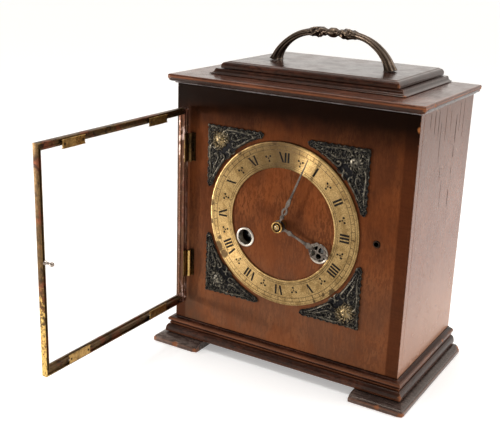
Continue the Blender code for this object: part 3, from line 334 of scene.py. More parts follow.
def ring_wear_and_highlights(shader, color):
    """Brass darkened by the clock angle with two narrow painted highlight streaks, a fine matted grain, and
    spots where the lacquer has gone.
    """
    brushing = shader.add("ShaderNodeTangent", {}, direction_type="RADIAL", axis="Y").outputs[0]
    shader.feed(shader.surface.inputs["Tangent"], brushing)
    right = shader.math("SUBTRACT", shader.axis("X"), DIAL.x)
    up = shader.math("SUBTRACT", shader.axis("Z"), DIAL.z)
    turn = shader.math("DIVIDE", shader.math("ARCTAN2", right, up), 2 * math.pi)
    turn = shader.math("FRACT", shader.ragged(turn, 0.04, 30))
    color = shader.mix(shader.ramp(turn, RING_SHADE), color, (56, 43, 29))
    grain = shader.noise(0.6, detail=2, rough=0.8)
    color = shader.stain(color, (84, 64, 38), grain, 0.44, 0.60, 0.0, 0.6)
    for clock_deg, reach, size in SPOTS:
        angle = math.radians(clock_deg)
        away = shader.near(DIAL.x + reach * math.sin(angle), -1.5, DIAL.z + reach * math.cos(angle))
        away = shader.ragged(away, 3.0, 2.2, detail=4)
        color = shader.stain(color, (62, 46, 32), away, size + 0.9, size + 2.0, 0.85, 0.0)
    return color


def old_gilding(shader, color):
    """What is left of the gilding on the masks."""
    patchy = shader.scale(shader.noise(1.1, detail=4, rough=0.7), 0.34, 0.60)
    return shader.mix(shader.times(shader.mark("gilt"), patchy), color, (176, 146, 92))


def frame_age(shader, color):
    """Copper and black patches, gilding left along the free edge, and solder over the hinge stile."""
    height, solder = shader.axis("Z"), shader.mark("solder")
    color = shader.stain(color, (118, 66, 46), shader.noise(16, detail=4), 0.50, 0.62, 0.0, 0.7)
    color = shader.stain(color, (34, 26, 22), shader.noise(9, detail=5), 0.56, 0.64, 0.0, 0.8)
    speck = shader.times(shader.math("SUBTRACT", shader.noise(2.4, detail=5, rough=0.7), 0.5), 200.0)
    low_down = shader.scale(shader.plus(height, speck), 78, 104, 1.0, 0.0)
    pitted = shader.scale(shader.noise(1.6, detail=4, rough=0.7), 0.40, 0.48)
    bare = shader.times(low_down, shader.times(shader.mark("gilt"), pitted))
    color = shader.mix(bare, color, (222, 184, 108))
    color = shader.mix(shader.times(solder, 0.6), color, (112, 76, 62))
    blot = shader.scale(shader.noise(5.0, shader.stretched(1, 1, 0.5), 4, 0.6), 0.52, 0.58)
    at_ends = shader.plus(shader.scale(height, 150, 190), shader.scale(height, 50, 62, 1.0, 0.0))
    blot = shader.times(blot, shader.plus(at_ends, 0.15))
    return shader.mix(shader.times(blot, solder), color, (190, 162, 150))


ALONG_X = (0.05, 1.0, 1.0)
MAHOGANY = ((28, 13, 9), (52, 27, 19), (80, 44, 31))
MATERIAL = {
    "cornice": wood("cornice_mahogany", *MAHOGANY, ALONG_X, (0.17, 0.26), 0.24, extra=shaded_left_end),
    "plate": wood("plate_mahogany", (52, 26, 17), (84, 47, 32), (118, 72, 52), ALONG_X,
                  (0.17, 0.26), 0.22, extra=shade_under_the_nose),
    "plinth": wood("plinth_mahogany", (42, 32, 29), (74, 60, 55), (108, 92, 85), ALONG_X,
                   (0.18, 0.34), 0.35),
    # the fillet's pale grey stands for the floor's reflection along its bead: a painted highlight
    "fillet": wood("fillet_painted_highlight", (70, 62, 60), (120, 114, 114), (158, 152, 152), ALONG_X,
                   (0.12, 0.25), 0.5, 0.5),
    "panel": wood("panel_mahogany", (82, 42, 22), (106, 58, 32), (138, 80, 44), (1.0, 1.0, 0.07),
                  (0.32, 0.5), 0.02, 0.30, under_the_cornice),
    # the side's mahogany is paler and greyer than the front's, partly a painted sheen
    "side": wood("side_mahogany", (100, 58, 42), (124, 76, 56), (146, 98, 74), (1.0, 1.0, 0.05),
                 (0.22, 0.28), 0.36, 0.12, side_tones, 0.2),
    "inner": wood("inner_wood", (92, 62, 38), (118, 82, 52), (142, 104, 68), (1.0, 1.0, 0.05),
                  (0.5, 0.7), 0.2, 0.2, glow=0.2),
    # the bronze's worn tone on the handle's raised parts is partly a painted highlight
    "bronze": metal("bronze", (26, 20, 17), (50, 40, 34), (80, 66, 56), 1.0, (0.26, 0.45),
                    (132, 114, 96)),
    # the pale worn tone on the mounts' raised parts is partly a painted highlight
    "black_bronze": metal("black_bronze", (8, 8, 9), (18, 17, 18), (38, 37, 38), 0.7, (0.26, 0.45),
                          (136, 128, 112), extra=old_gilding),
    "dial": metal("dial_brass", (172, 138, 86), (194, 158, 102), (220, 186, 126), 0.8, (0.30, 0.44),
                  extra=ring_wear_and_highlights, dents=0.03, Anisotropic=0.75),
    "wax": metal("numeral_wax", (10, 8, 8), (16, 13, 12), (30, 24, 20), 0.6, (0.5, 0.7), metallic=0.0,
                 Specular_IOR_Level=0.1),
    "line": metal("engraved_line", (40, 30, 18), (56, 42, 26), (96, 76, 48), 1.6, (0.5, 0.7), metallic=0.2,
                  Specular_IOR_Level=0.15),
    "gap": metal("open_check", (12, 7, 5), (22, 13, 9), (58, 34, 24), 1.0, (0.7, 0.9), metallic=0.0,
                 Specular_IOR_Level=0.05),
    "brass": metal("aged_brass", (92, 68, 38), (146, 112, 62), (190, 154, 94), 1.4, (0.26, 0.5),
                   (226, 196, 130)),
    "frame": metal("frame_brass", (42, 31, 22), (74, 55, 36), (100, 78, 50), 1.8, (0.34, 0.55),
                   (150, 120, 74), extra=frame_age),
    "hinge": metal("hinge_brass", (34, 25, 18), (66, 49, 30), (112, 88, 52), 1.6, (0.3, 0.5)),
    "solder": metal("solder", (124, 108, 84), (168, 156, 132), (214, 206, 190), 0.9, (0.3, 0.55)),
    "nickel": metal("white_metal", (170, 158, 142), (196, 186, 172), (214, 206, 194), 0.9, (0.34, 0.44),
                    dents=0.008),
    "pin": metal("bare_metal", (120, 104, 92), (170, 156, 144), (206, 196, 188), 0.9, (0.16, 0.3),
                 dents=0.008),
    "hand": metal("hand_steel", (52, 45, 41), (84, 76, 70), (116, 107, 98), 0.7, (0.3, 0.5)),
    "movement": metal("movement_brass", (152, 122, 70), (176, 142, 82), (200, 168, 106), 1.6, (0.2, 0.4)),
    "steel": metal("steel", (92, 92, 92), (140, 140, 140), (176, 176, 174), 1.0, (0.2, 0.4)),
    "blued": metal("blued_steel", (28, 30, 42), (40, 44, 66), (64, 70, 96), 1.4, (0.2, 0.4)),
    "iron": metal("cast_iron", (34, 33, 32), (52, 50, 48), (76, 74, 70), 1.6, (0.5, 0.7)),
}


def make_glass():
    """Clear glass with a film of dust and a few dirt marks."""
    shader = Shader("glass")
    dust = shader.scale(shader.noise(55, detail=3, rough=0.5), 0.35, 0.75)
    speck = shader.scale(shader.cells(26), 0.02, 0.04, 1.0, 0.0)
    cloud = shader.math("MAXIMUM", shader.times(dust, 0.25), speck)
    shader.feed(shader.surface.inputs["Alpha"], shader.scale(cloud, 0.0, 1.0, 0.05, 0.26))
    color = shader.mix(cloud, (196, 184, 156), (140, 126, 104))
    return shader.finish(color, shader.scale(dust, 0.0, 1.0, 0.04, 0.14), 0.0, IOR=1.5)


MATERIAL["glass"] = make_glass()


# ---------------------------------------------------------------- mesh helpers

def put(name, mesh, material, body="case", stands_for=(), crease=38):
    """A piece of the object, shaded smooth up to the crease angle, riding on its CAD body."""
    mesh.materials.append(MATERIAL[material])
    mesh.shade_smooth()
    mesh.set_sharp_from_angle(angle=math.radians(crease))
    thing = bpy.data.objects.new(name, mesh)
    bpy.context.scene.collection.objects.link(thing)
    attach(thing, body)
    if stands_for:
        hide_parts(*stands_for)
    return thing


def mesh_of(bm, name, weld=False):
    """The mesh of bm, its normals made to agree; weld first joins points that lie together."""
    if weld:
        bmesh.ops.remove_doubles(bm, verts=bm.verts, dist=WELD)
    bmesh.ops.recalc_face_normals(bm, faces=bm.faces)
    mesh = bpy.data.meshes.new(name)
    bm.to_mesh(mesh)
    bm.free()
    return mesh


def skin(bm, rows, around=True, ends=True):
    """Faces between rows of points; around joins a row's ends, ends fills the first and last row."""
    rings = [[bm.verts.new(point) for point in row] for row in rows]
    count = len(rings[0])
    for lower, upper in zip(rings, rings[1:]):
        for i in range(count if around else count - 1):
            j = (i + 1) % count
            bm.faces.new((lower[i], lower[j], upper[j], upper[i]))
    if ends:
        bm.faces.new(rings[0][::-1])
        bm.faces.new(rings[-1])


def skinned(name, rows, around=True, ends=True, weld=False):
    """A mesh of one skin over rows of points."""
    bm = bmesh.new()
    skin(bm, rows, around, ends)
    return mesh_of(bm, name, weld)


def between(first, second, share):
    """A point a share of the way from one point to another."""
    return [a + (b - a) * share for a, b in zip(first, second)]


def polar(centre, reach, angle):
    """A point at a reach and an angle from a centre."""
    return centre[0] + reach * math.cos(angle), centre[1] + reach * math.sin(angle)


def cut_out(name, outlines, y_front, y_back, material, body, stands_for, bevel=0.3, rolled=0.0):
    """A flat piece cut from sheet: (x, z) outlines, the first outside and the rest holes, with soft edges.

    rolled rounds the edges of a broad board; bevel softens the edges of a piece with fine points.
    """
    curve = bpy.data.curves.new(name, "CURVE")
    curve.dimensions = "2D"
    curve.fill_mode = "BOTH"
    curve.extrude = (abs(y_back - y_front) / 2 - rolled) * MM
    curve.bevel_depth = rolled * MM
    curve.bevel_resolution = 2
    curve.offset = -rolled * MM
    for outline in outlines:
        spline = curve.splines.new("POLY")
        spline.points.add(len(outline) - 1)
        for point, (x, z) in zip(spline.points, outline):
            point.co = (x * MM, z * MM, 0, 1)
        spline.use_cyclic_u = True
    guide = bpy.data.objects.new(name, curve)
    bpy.context.scene.collection.objects.link(guide)
    bpy.context.view_layer.update()
    evaluated = guide.evaluated_get(bpy.context.evaluated_depsgraph_get())
    mesh = bpy.data.meshes.new_from_object(evaluated)
    bpy.data.objects.remove(guide)
    bpy.data.curves.remove(curve)
    bm = bmesh.new()
    bm.from_mesh(mesh)
    bmesh.ops.remove_doubles(bm, verts=bm.verts, dist=10 * WELD)
    middle = (y_front + y_back) / 2
    for vert in bm.verts:
        vert.co = at(vert.co.x / MM, middle + vert.co.z / MM, vert.co.y / MM)
    mesh.materials.clear()
    bmesh.ops.recalc_face_normals(bm, faces=bm.faces)
    bm.to_mesh(mesh)
    bm.free()
    thing = put(name, mesh, material, body, stands_for)
    if not rolled:
        soft = thing.modifiers.new("soft edges", "BEVEL")
        soft.width = bevel * MM
        soft.segments = 2
        soft.limit_method = "ANGLE"
        soft.angle_limit = math.radians(35)
    even = thing.modifiers.new("even faces", "WEIGHTED_NORMAL")
    even.keep_sharp = True


def turned(name, profile, centre, material, body="case", stands_for=(), steps=48, axis="Y"):
    """A turned piece: profile is (radius, position along the axis) and goes round a closed section."""
    rows = []
    for radius, along in profile:
        row = []
        for u, v in circle(0, 0, radius, steps):
            offset = {"X": (along, u, v), "Y": (u, along, v), "Z": (u, v, along)}[axis]
            row.append(at(*[start + shift for start, shift in zip(centre, offset)]))
        rows.append(row)
    mesh = skinned(name, rows, ends=profile[0] != profile[-1], weld=True)
    put(name, mesh, material, body, stands_for, 50)


def circle(x, z, radius, steps=48):
    return [polar((x, z), radius, 2 * math.pi * i / steps) for i in range(steps)]


def smooth_line(points, steps=8):
    """A Catmull-Rom line through points of any number of coordinates."""
    ends = [points[0]] + list(points) + [points[-1]]
    line = []
    for before, start, stop, after in zip(ends, ends[1:], ends[2:], ends[3:]):
        for i in range(steps):
            t = i / steps
            weights = (-t + 2 * t * t - t ** 3, 2 - 5 * t * t + 3 * t ** 3, t + 4 * t * t - 3 * t ** 3,
                       t ** 3 - t * t)
            line.append(tuple(sum(weight * value for weight, value in zip(weights, values)) / 2
                              for values in zip(before, start, stop, after)))
    line.append(tuple(points[-1]))
    return line


def refine(profile, step):
    """Cuts a profile of (out, z, wear) into short steps; wear fades within 0.7 mm of its point."""
    marks, points, length = [], [], 0.0
    for first, second in zip(profile, profile[1:]):
        gap = math.dist(first[:2], second[:2])
        marks.append((length, first[2]))
        pieces = max(1, math.ceil(gap / step))
        for i in range(pieces):
            share = i / pieces
            points.append((*between(first[:2], second[:2], share), length + gap * share))
        length += gap
    marks.append((length, profile[-1][2]))
    points.append((profile[-1][0], profile[-1][1], length))
    return [(out, z, max(worn * math.exp(-((place - reach) / 0.7) ** 2) for reach, worn in marks))
            for out, z, place in points]


def paint(mesh, name, values):
    layer = mesh.attributes.new(name, "FLOAT", "POINT")
    layer.data.foreach_set("value", values)


def weather(mesh, wear, centre, chips=(), seed=0.0):
    """Rubs a mesh's worn arrises in a little; each chip (point, radius, depth) bites a piece out."""
    raw, worn = [], []
    for vert, amount in zip(mesh.vertices, wear):
        place = vert.co / MM + Vector((seed, 0, 0))
        inward = (centre - vert.co).normalized()
        rub = amount * (0.10 + 0.45 * max(0.0, noise.noise(place * 0.22) - 0.05))
        bare = 0.0
        for point, radius, depth in chips:
            away = (vert.co - at(*point)).length / MM + 0.35 * radius * noise.noise(place * 0.9)
            if away < radius:
                bite = 1 - (away / radius) ** 2
                rub = max(rub, depth * bite * (0.75 + 0.25 * noise.noise(place * 1.7)))
                bare = max(bare, min(1.0, bite * 2.5))
        vert.co += inward * rub * MM
        raw.append(bare)
        worn.append(amount * (0.8 + 0.5 * noise.noise(place * 0.04)))
    paint(mesh, "raw", raw)
    paint(mesh, "wear", [min(1.0, max(0.0, value)) for value in worn])


# ---------------------------------------------------------------- wooden case

def rounded(start, stop, bulge, wear=(0.0, 0.0), count=6):
    """Profile points on a quarter ellipse between two (out, z) points, bulging out or hollow."""
    points = []
    for i in range(count + 1):
        turn = math.radians(90 * i / count)
        share_out, share_z = math.sin(turn), 1 - math.cos(turn)
        if bulge:
            share_out, share_z = 1 - math.cos(turn), math.sin(turn)
        out = start[0] + (stop[0] - start[0]) * share_out
        points.append((out, start[1] + (stop[1] - start[1]) * share_z, 0.0))
    points[0] = (*points[0][:2], wear[0])
    points[-1] = (*points[-1][:2], wear[1])
    return points


def moulded_slab(node, profile, front, chips=(), material="cornice"):
    """A slab in a CAD slab's place, with a moulded edge mitred round its front and two sides."""
    rear = span(node)[1].y
    rows, wear = [], []
    for out, z, worn in refine(profile, 0.4):
        left, right, near = -HALF - out, HALF + out, front - out
        row = []
        corners = [(left, rear), (left, near), (right, near), (right, rear)]
        for start, stop, steps in zip(corners, corners[1:], (80, 150, 80)):
            row += [between(start, stop, i / steps) for i in range(steps)]
        row.append(corners[-1])
        for x, y in row:
            from_corner = math.hypot(abs(x) - right, y - near)
            wear.append(min(1.0, worn + 0.35 * math.exp(-from_corner / 1.6)))
        rows.append([at(x, y, z) for x, y in row])
    mesh = skinned(node, rows)
    weather(mesh, wear, at(0, DEPTH / 2, middle(node).z), chips, span(node)[1].z)
    put(node + "_wood", mesh, material, "case", (node,))


def make_mouldings():
    low, high = span("base_board")
    base = [(4.0, low.z, 0), (5.4, low.z, 0.2), (6.5, 8.1, 0.5), (6.6, 9.3, 0.2), (6.6, 9.5, 0)]
    base += rounded((6.6, 9.5), (3.5, 15.1), True, (0.2, 0.3))[1:]
    base += [(2.9, 15.3, 0), (2.9, 15.6, 0), (3.7, 15.9, 0.3), (4.0, 16.5, 0.7), (3.7, 17.0, 0.2),
             (2.9, 17.3, 0)]
    base += [(2.9, 17.9, 0), (4.2, 18.3, 0.2), (4.9, 19.0, 0.3), (5.1, 19.9, 0.9), (4.8, 20.9, 0.7),
             (3.9, 21.7, 0.3)]
    base += [(2.2, 22.0, 0), (0.9, 22.3, 0), (0.7, high.z, 0), (-1.0, high.z, 0)]
    moulded_slab("base_board", base, 0.0, chips=[((115.8, -6.8, 11.0), 2.4, 0.9),
                                                 ((113.9, 96, 20.4), 1.8, 0.5)])

    low, high = span("cornice_fillet")
    fillet = [(-0.6, low.z, 0), (0.6, low.z, 0), (1.1, low.z + 0.15, 0), (1.4, low.z + 0.4, 0),
              (1.5, middle("cornice_fillet").z, 0), (1.4, high.z - 0.4, 0), (1.1, high.z - 0.15, 0),
              (0.6, high.z, 0), (-0.6, high.z, 0)]
    moulded_slab("cornice_fillet", fillet, 0.0, material="fillet")

    low, high = span("cornice_plate")
    plate = [(1.0, low.z, 0), (2.4, low.z, 0), (3.0, low.z + 0.1, 0.2)]
    plate += rounded((3.1, low.z + 0.3), (4.9, 241.6), False)[1:]
    plate += [(5.4, 241.7, 0), (5.7, 242.1, 0.05), (5.7, 242.9, 0.1), (5.6, 243.4, 0.8)]
    plate += rounded((5.6, 243.4), (4.2, high.z), True, (0.8, 0.5))[1:]
    plate += [(2.5, high.z, 0), (1.0, high.z, 0)]
    moulded_slab("cornice_plate", plate, -1.3, material="plate", chips=[
        ((114.7, -7.0, 242.0), 2.2, 1.0), ((-114.7, -7.0, 242.5), 1.8, 0.8), ((114.8, 12, 243.6), 1.6, 0.4),
        ((114.6, 124, 242), 3.0, 1.2)])

    low, high = span("crown_moulding")
    crown = [(-22.0, low.z, 0), (-20.5, low.z, 0), (-20.2, low.z + 0.3, 0.1), (-20.6, 246.4, 0.05)]
    crown += rounded((-20.9, 246.6), (-23.6, 249.2), False)[1:]
    crown += [(-23.9, 249.4, 0.1), (-24.0, 249.7, 0.1), (-24.1, high.z, 0), (-26.0, high.z, 0)]
    moulded_slab("crown_moulding", crown, -2.6, chips=[((88.8, 17.8, 246.4), 2.2, 0.8)])

    low, high = span("crown_top")
    top = [(-29.5, low.z, 0), (-28.3, low.z, 0), (-28.0, low.z + 0.3, 0.1), (-28.0, 252.4, 0.1)]
    top += rounded((-28.0, 252.4), (-31.4, 255.6), True, (0.05, 0.1))[1:]
    top += [(-32.0, 255.8, 0.1), (-32.8, high.z, 0.1), (-34.5, high.z, 0)]
    moulded_slab("crown_top", top, -4.2, chips=[((81.0, 23.8, 252.4), 1.6, 0.4)])


TOP_OUT, HIDDEN = 6.2, -12  # how far the plinth's top stands out, and its unseen back lies in


def make_plinth(sign, tag):
    """A cove moulding along one side that turns the corner into a short bracket foot in front."""
    node = "plinth_" + tag
    low, high = span(node)
    reach_side, reach_front = max(abs(low.x), high.x) - HALF, -low.y
    inner_end = min(abs(low.x), abs(high.x))
    section = [(-0.4, high.z, 0)] + rounded((0.0, high.z - 0.2), (0.86, 4.1), False)
    section += [(0.90, 4.0, 0), (0.97, 3.8, 0.5), (1.0, 3.2, 0.4), (1.0, 0.9, 0.3), (0.97, 0.2, 0.7),
                (0.9, 0.0, 0), (0.2, 0.0, 0)]
    fine = refine([(share * 10, z, worn) for share, z, worn in section], 0.35)
    # places along the foot of the case, each with the way its moulding stands out
    rear, corner, inner = ((HALF, DEPTH), (1, 0)), ((HALF, 0.0), (1, -1)), ((inner_end, 0.0), (0, -1))
    stations = [(rear, corner, i / 110) for i in range(110)] + [(corner, inner, i / 34) for i in range(35)]
    rows, wear = [], []
    for start, stop, share in stations:
        row = []
        for tenths, z, worn in fine + [(None, 0.0, 0.0), (None, high.z, 0.0)]:
            side = front = HIDDEN
            if tenths is not None:
                side, front = between((TOP_OUT, TOP_OUT), (reach_side, reach_front), tenths / 10)
            ends = [(x + out_x * side, y + out_y * front) for (x, y), (out_x, out_y) in (start, stop)]
            x, y = between(*ends, share)
            row.append(at(sign * x, y, z))
            wear.append(worn)
        rows.append(row)
    mesh = skinned(node, rows)
    chips = {1: [((122.5, -17.2, -0.4), 5.4, 2.2), ((122.3, 124.0, 3.0), 5.0, 2.0),
                 ((100, -17.1, 3.4), 2.4, 0.7)],
             -1: [((-75.0, -17.0, 0.5), 4.0, 1.6), ((-98.0, -17.1, 3.0), 3.0, 1.0),
                  ((-122, -17, 2.0), 3.4, 1.2)]}
    weather(mesh, wear, at(sign * (HALF - 6), DEPTH / 2, 4.0), chips[sign], sign * 40.0)
    put(node + "_wood", mesh, "plinth", "case", (node,))


END_VENEER = 0.3


def board(node, material, rolled, holes=()):
    """A flat board in its CAD node's box, cut through by holes given as (x, z) outlines."""
    low, high = span(node)
    if node == "front_panel":
        low.x, high.x = low.x + END_VENEER, high.x - END_VENEER
    outline = [(low.x, low.z), (high.x, low.z), (high.x, high.z), (low.x, high.z)]
    cut_out(node + "_board", [outline, *holes], low.y, high.y, material, "case", (node,), rolled=rolled)


def make_walls():
    """The front board with its holes, and the two sides with their veneer and checks."""
    holes = [circle(DIAL.x, DIAL.z, 3.6, 32)]
    for node, radius, steps in (("winding_grommet_left", 7.4, 40), ("winding_grommet_right", 7.4, 40),
                                ("catch_bush", 3.0, 24)):
        centre = middle(node)
        holes.append(circle(centre.x, centre.z, radius, steps))
    board("front_panel", "panel", 0.7, holes)
    make_end_veneer(-1, "left")
    make_end_veneer(1, "right")
    board("side_left", "side", 0.6)
    board("side_right", "side", 0.6)
    make_checks(-1, "left")
    make_checks(1, "right")


def make_end_veneer(sign, tag):
    """The side veneer carried over the end of the front board."""
    low, high = span("front_panel")
    rows = []
    for i in range(61):
        z = low.z + (high.z - low.z) * i / 60
        nibble = 0.35 * max(0.0, noise.noise(Vector((z * 0.35, sign, 4))))
        inside, outside = sign * (high.x - 0.4), sign * high.x
        rows.append([at(inside, low.y + 0.7 + nibble, z), at(outside, low.y + 0.75 + nibble, z),
                     at(outside, high.y, z), at(inside, high.y, z)])
    put("end_veneer_" + tag, skinned("end_veneer_" + tag, rows), "side")


SIDE_CHECKS = ((84, 202, 226, 1.0), (83, 190, 200, 0.8), (82, 176, 184, 0.5), (80, 148, 164, 0.9),
               (58, 208, 235, 0.5), (47, 192, 226, 0.5), (41, 214, 236, 0.6), (32, 218, 236, 0.7),
               (22, 224, 236, 0.5), (60, 152, 176, 0.35), (102, 204, 236, 0.5), (54, 176, 188, 0.4),
               (92, 210, 235, 0.4), (70, 214, 232, 0.35))


def make_checks(sign, tag):
    """Drying checks in a side's veneer: ragged dark slivers at (y, low, high, half width)."""
    bm = bmesh.new()
    face = sign * (BODY_HIGH.x + 0.03)
    for y, low, high, half in SIDE_CHECKS if sign > 0 else SIDE_CHECKS[4:9]:
        steps = max(6, round((high - low) / 0.9))
        left, right = [], []
        for i in range(steps + 1):
            share = i / steps
            z = low + (high - low) * share
            drift = 0.9 * noise.noise(Vector((y, z * 0.06, sign)))
            drift += 0.25 * noise.noise(Vector((y, z * 0.5, sign)))
            ragged = 0.55 + 0.9 * abs(noise.noise(Vector((z * 0.4, y, 3))))
            width = half * math.sin(math.pi * share) ** 0.4 * ragged
            left.append(at(face, y + drift - width, z))
            right.append(at(face, y + drift + width, z))
        skin(bm, [left, right], around=False, ends=False)
    put("side_checks_" + tag, mesh_of(bm, "side_checks_" + tag), "gap")


# ---------------------------------------------------------------- carrying handle

def make_handle():
    """A cast handle: flared feet, fluted arms, pairs of leaves and a bead in the middle of the grip."""
    low, high = span("carry_handle")
    middle_y = (low.y + high.y) / 2
    arm = [(53.4, 256.6), (52.9, 258.6), (50.2, 264.2), (46.2, 269.4), (41.6, 273.7), (36.2, 277.4),
           (30.0, 280.3),
           (23.2, 282.1), (16.0, 282.9), (8.0, 283.3)]
    line = smooth_line([*arm, (0.0, 283.4), *[(-x, z) for x, z in arm[::-1]]], 16)
    sides = 56
    rows, wear = [], []
    for i, (x, z) in enumerate(line):
        back, ahead = line[max(i - 1, 0)], line[min(i + 1, len(line) - 1)]
        along = Vector((ahead[0] - back[0], 0, ahead[1] - back[1])).normalized()
        up = Vector((along.z, 0, -along.x))
        near = abs(x)
        rise = min(1.0, max(0.0, (z - 256.6) / 24.0))
        leaf = math.exp(-((near - 14.0) / 7.0) ** 4)
        bead = math.exp(-(near / 3.4) ** 4)
        waist = math.exp(-((near - 5.6) / 1.5) ** 2)
        flare = math.exp(-(z - 256.6) / 1.8) if z < 270 else 0.0
        thick = 4.0 - 1.4 * rise ** 0.6 + 1.3 * flare + 1.5 * leaf + 1.6 * bead - 0.5 * waist
        wide = 7.9 - 3.5 * rise ** 0.6 + 1.6 * leaf + 1.0 * bead - 0.8 * waist
        row = []
        for k in range(sides):
            angle = 2 * math.pi * k / sides
            flute = 0.11 * math.cos(8 * angle) * (1 - leaf) * (1 - bead)
            curl = 0.15 * leaf * math.cos(4 * angle + (near - 13.5) * 0.7)
            curl += 0.07 * leaf * math.cos(near * 1.8)
            swell = 1 + flute + curl
            across, out = wide * math.sin(angle) * swell, thick * math.cos(angle) * swell
            row.append(at(x, middle_y + across, z) + up * out * MM)
            # the wear mark, highest on the flutes, leaves and bead, is partly rubbed wear and partly a painted
            # highlight on the raised parts
            wear.append(max(0.0, min(1.0, 0.30 + 3.2 * flute + 2.2 * curl + 0.3 * bead)))
        rows.append(row)
    bm = bmesh.new()
    skin(bm, rows)
    for vert in bm.verts:
        vert.co.z = min(max(vert.co.z, low.z * MM), high.z * MM)
        vert.co.y = FACE_Y + min(max((vert.co.y - FACE_Y) / MM, low.y), high.y) * MM
    mesh = mesh_of(bm, "carry_handle_cast")
    paint(mesh, "wear", wear)
    put("carry_handle_cast", mesh, "bronze", "case", ("carry_handle",), 60)


# ---------------------------------------------------------------- dial

def on_dial(across, reach, clock_deg, y):
    """A point on the dial: reach from the centre at a clock angle, and across, clockwise."""
    angle = math.radians(clock_deg)
    return at(DIAL.x + reach * math.sin(angle) + across * math.cos(angle), y,
              DIAL.z + reach * math.cos(angle) - across * math.sin(angle))


def flat_shape(bm, points, clock_deg, y):
    bm.faces.new([bm.verts.new(on_dial(across, reach, clock_deg, y)) for across, reach in points])


NUMERALS = ("I", "II", "III", "IIII", "V", "VI", "VII", "VIII", "IX", "X", "XI", "XII")
LETTER_WIDTH = {"I": 2.75, "V": 5.0, "X": 4.8}
NUMERAL_LOW, NUMERAL_HIGH = 53.2, 61.4
HEAVY, HAIR = 0.86, 0.18


def stroke(first, second, half, start=NUMERAL_HIGH, stop=NUMERAL_LOW):
    """A straight stroke from (first, start) to (second, stop), as an outline (across, reach)."""
    return [(first - half, start), (first + half, start), (second + half, stop), (second - half, stop)]


def letter(kind, x):
    """A letter's heavy strokes and its hairlines, as outlines (across, reach) centred on x."""
    serifs = []
    for end, reach in (("top", NUMERAL_HIGH), ("bottom", NUMERAL_LOW)):
        feet = {"I": (0.0,), "V": (-1.9, 1.9) if end == "top" else (), "X": (-1.8, 1.8)}[kind]
        serifs += [stroke(x + foot, x + foot, 1.25, reach - HAIR, reach + HAIR) for foot in feet]
    if kind == "I":
        return [stroke(x, x, HEAVY)], serifs
    if kind == "V":
        return [stroke(x - 1.9, x + 0.2, HEAVY)], serifs + [stroke(x + 1.9, x + 0.4, HAIR)]
    return [stroke(x - 1.8, x + 1.8, HEAVY)], serifs + [stroke(x + 1.8, x - 1.8, HAIR)]


def annulus(bm, inner, outer, y, steps=240):
    rows = [[on_dial(0, reach, 360 * i / steps, y) for i in range(steps)] for reach in (inner, outer)]
    skin(bm, rows, ends=False)


def make_dial():
    low, high = span("chapter_ring")
    face = low.y
    profile = [(RING_INNER, high.y), (RING_INNER, face + 0.5), (RING_INNER + 0.15, face + 0.15),
               (RING_INNER + 0.5, face), (RING_INNER + 1.5, face), (RING_OUTER - 1.6, face),
               (RING_OUTER - 0.6, face), (RING_OUTER - 0.2, face + 0.15), (RING_OUTER, face + 0.5),
               (RING_OUTER, high.y), (RING_INNER, high.y)]
    rows = [[on_dial(0, reach, 360 * i / 180, y) for i in range(180)] for reach, y in profile]
    mesh = skinned("chapter_ring_brass", rows, ends=False, weld=True)
    put("chapter_ring_brass", mesh, "dial", "case", ("chapter_ring",))

    heavy, fine = bmesh.new(), bmesh.new()
    ink_y, line_y = face - 0.03, face - 0.02
    for hour, numeral in enumerate(NUMERALS, 1):
        width = sum(LETTER_WIDTH[kind] for kind in numeral)
        x = -width / 2
        for kind in numeral:
            x += LETTER_WIDTH[kind] / 2
            strokes, hairs = letter(kind, x)
            x += LETTER_WIDTH[kind] / 2
            for outline in strokes:
                flat_shape(heavy, outline, hour * 30, ink_y)
            for outline in hairs:
                flat_shape(fine, outline, hour * 30, line_y)
        half_hour = hour * 30 + 15
        for across, reach, radius in ((-2.0, 58.0, 0.95), (2.0, 58.0, 0.95), (0, 56.3, 0.65), (0.3, 54.1, 0.9)):
            flat_shape(heavy, circle(across, reach, radius, 12), half_hour, ink_y)
        flat_shape(fine, stroke(0, 0, HAIR, 54.0, 58.4), half_hour, line_y)
        arms = [(-2.0, 57.8), (-1.8, 58.1), (0.1, 56.5), (2.0, 58.1), (2.2, 57.8), (0.1, 56.1)]
        flat_shape(fine, arms, half_hour, line_y)
    for minute in range(60):
        half = 0.36 if minute % 5 == 0 else 0.21
        flat_shape(fine, stroke(0, 0, half, 63.4, 66.6), minute * 6, line_y)
    for quarter in range(48):
        flat_shape(fine, stroke(0, 0, 0.1, 50.2, 51.5), quarter * 7.5, line_y)
    for reach, half in ((63.3, 0.22), (66.6, 0.22), (51.6, 0.18), (50.1, 0.2), (68.6, 0.12)):
        annulus(fine, reach - half, reach + half, line_y)
    put("dial_numerals", mesh_of(heavy, "dial_numerals"), "wax")
    put("dial_tracks", mesh_of(fine, "dial_tracks"), "line")


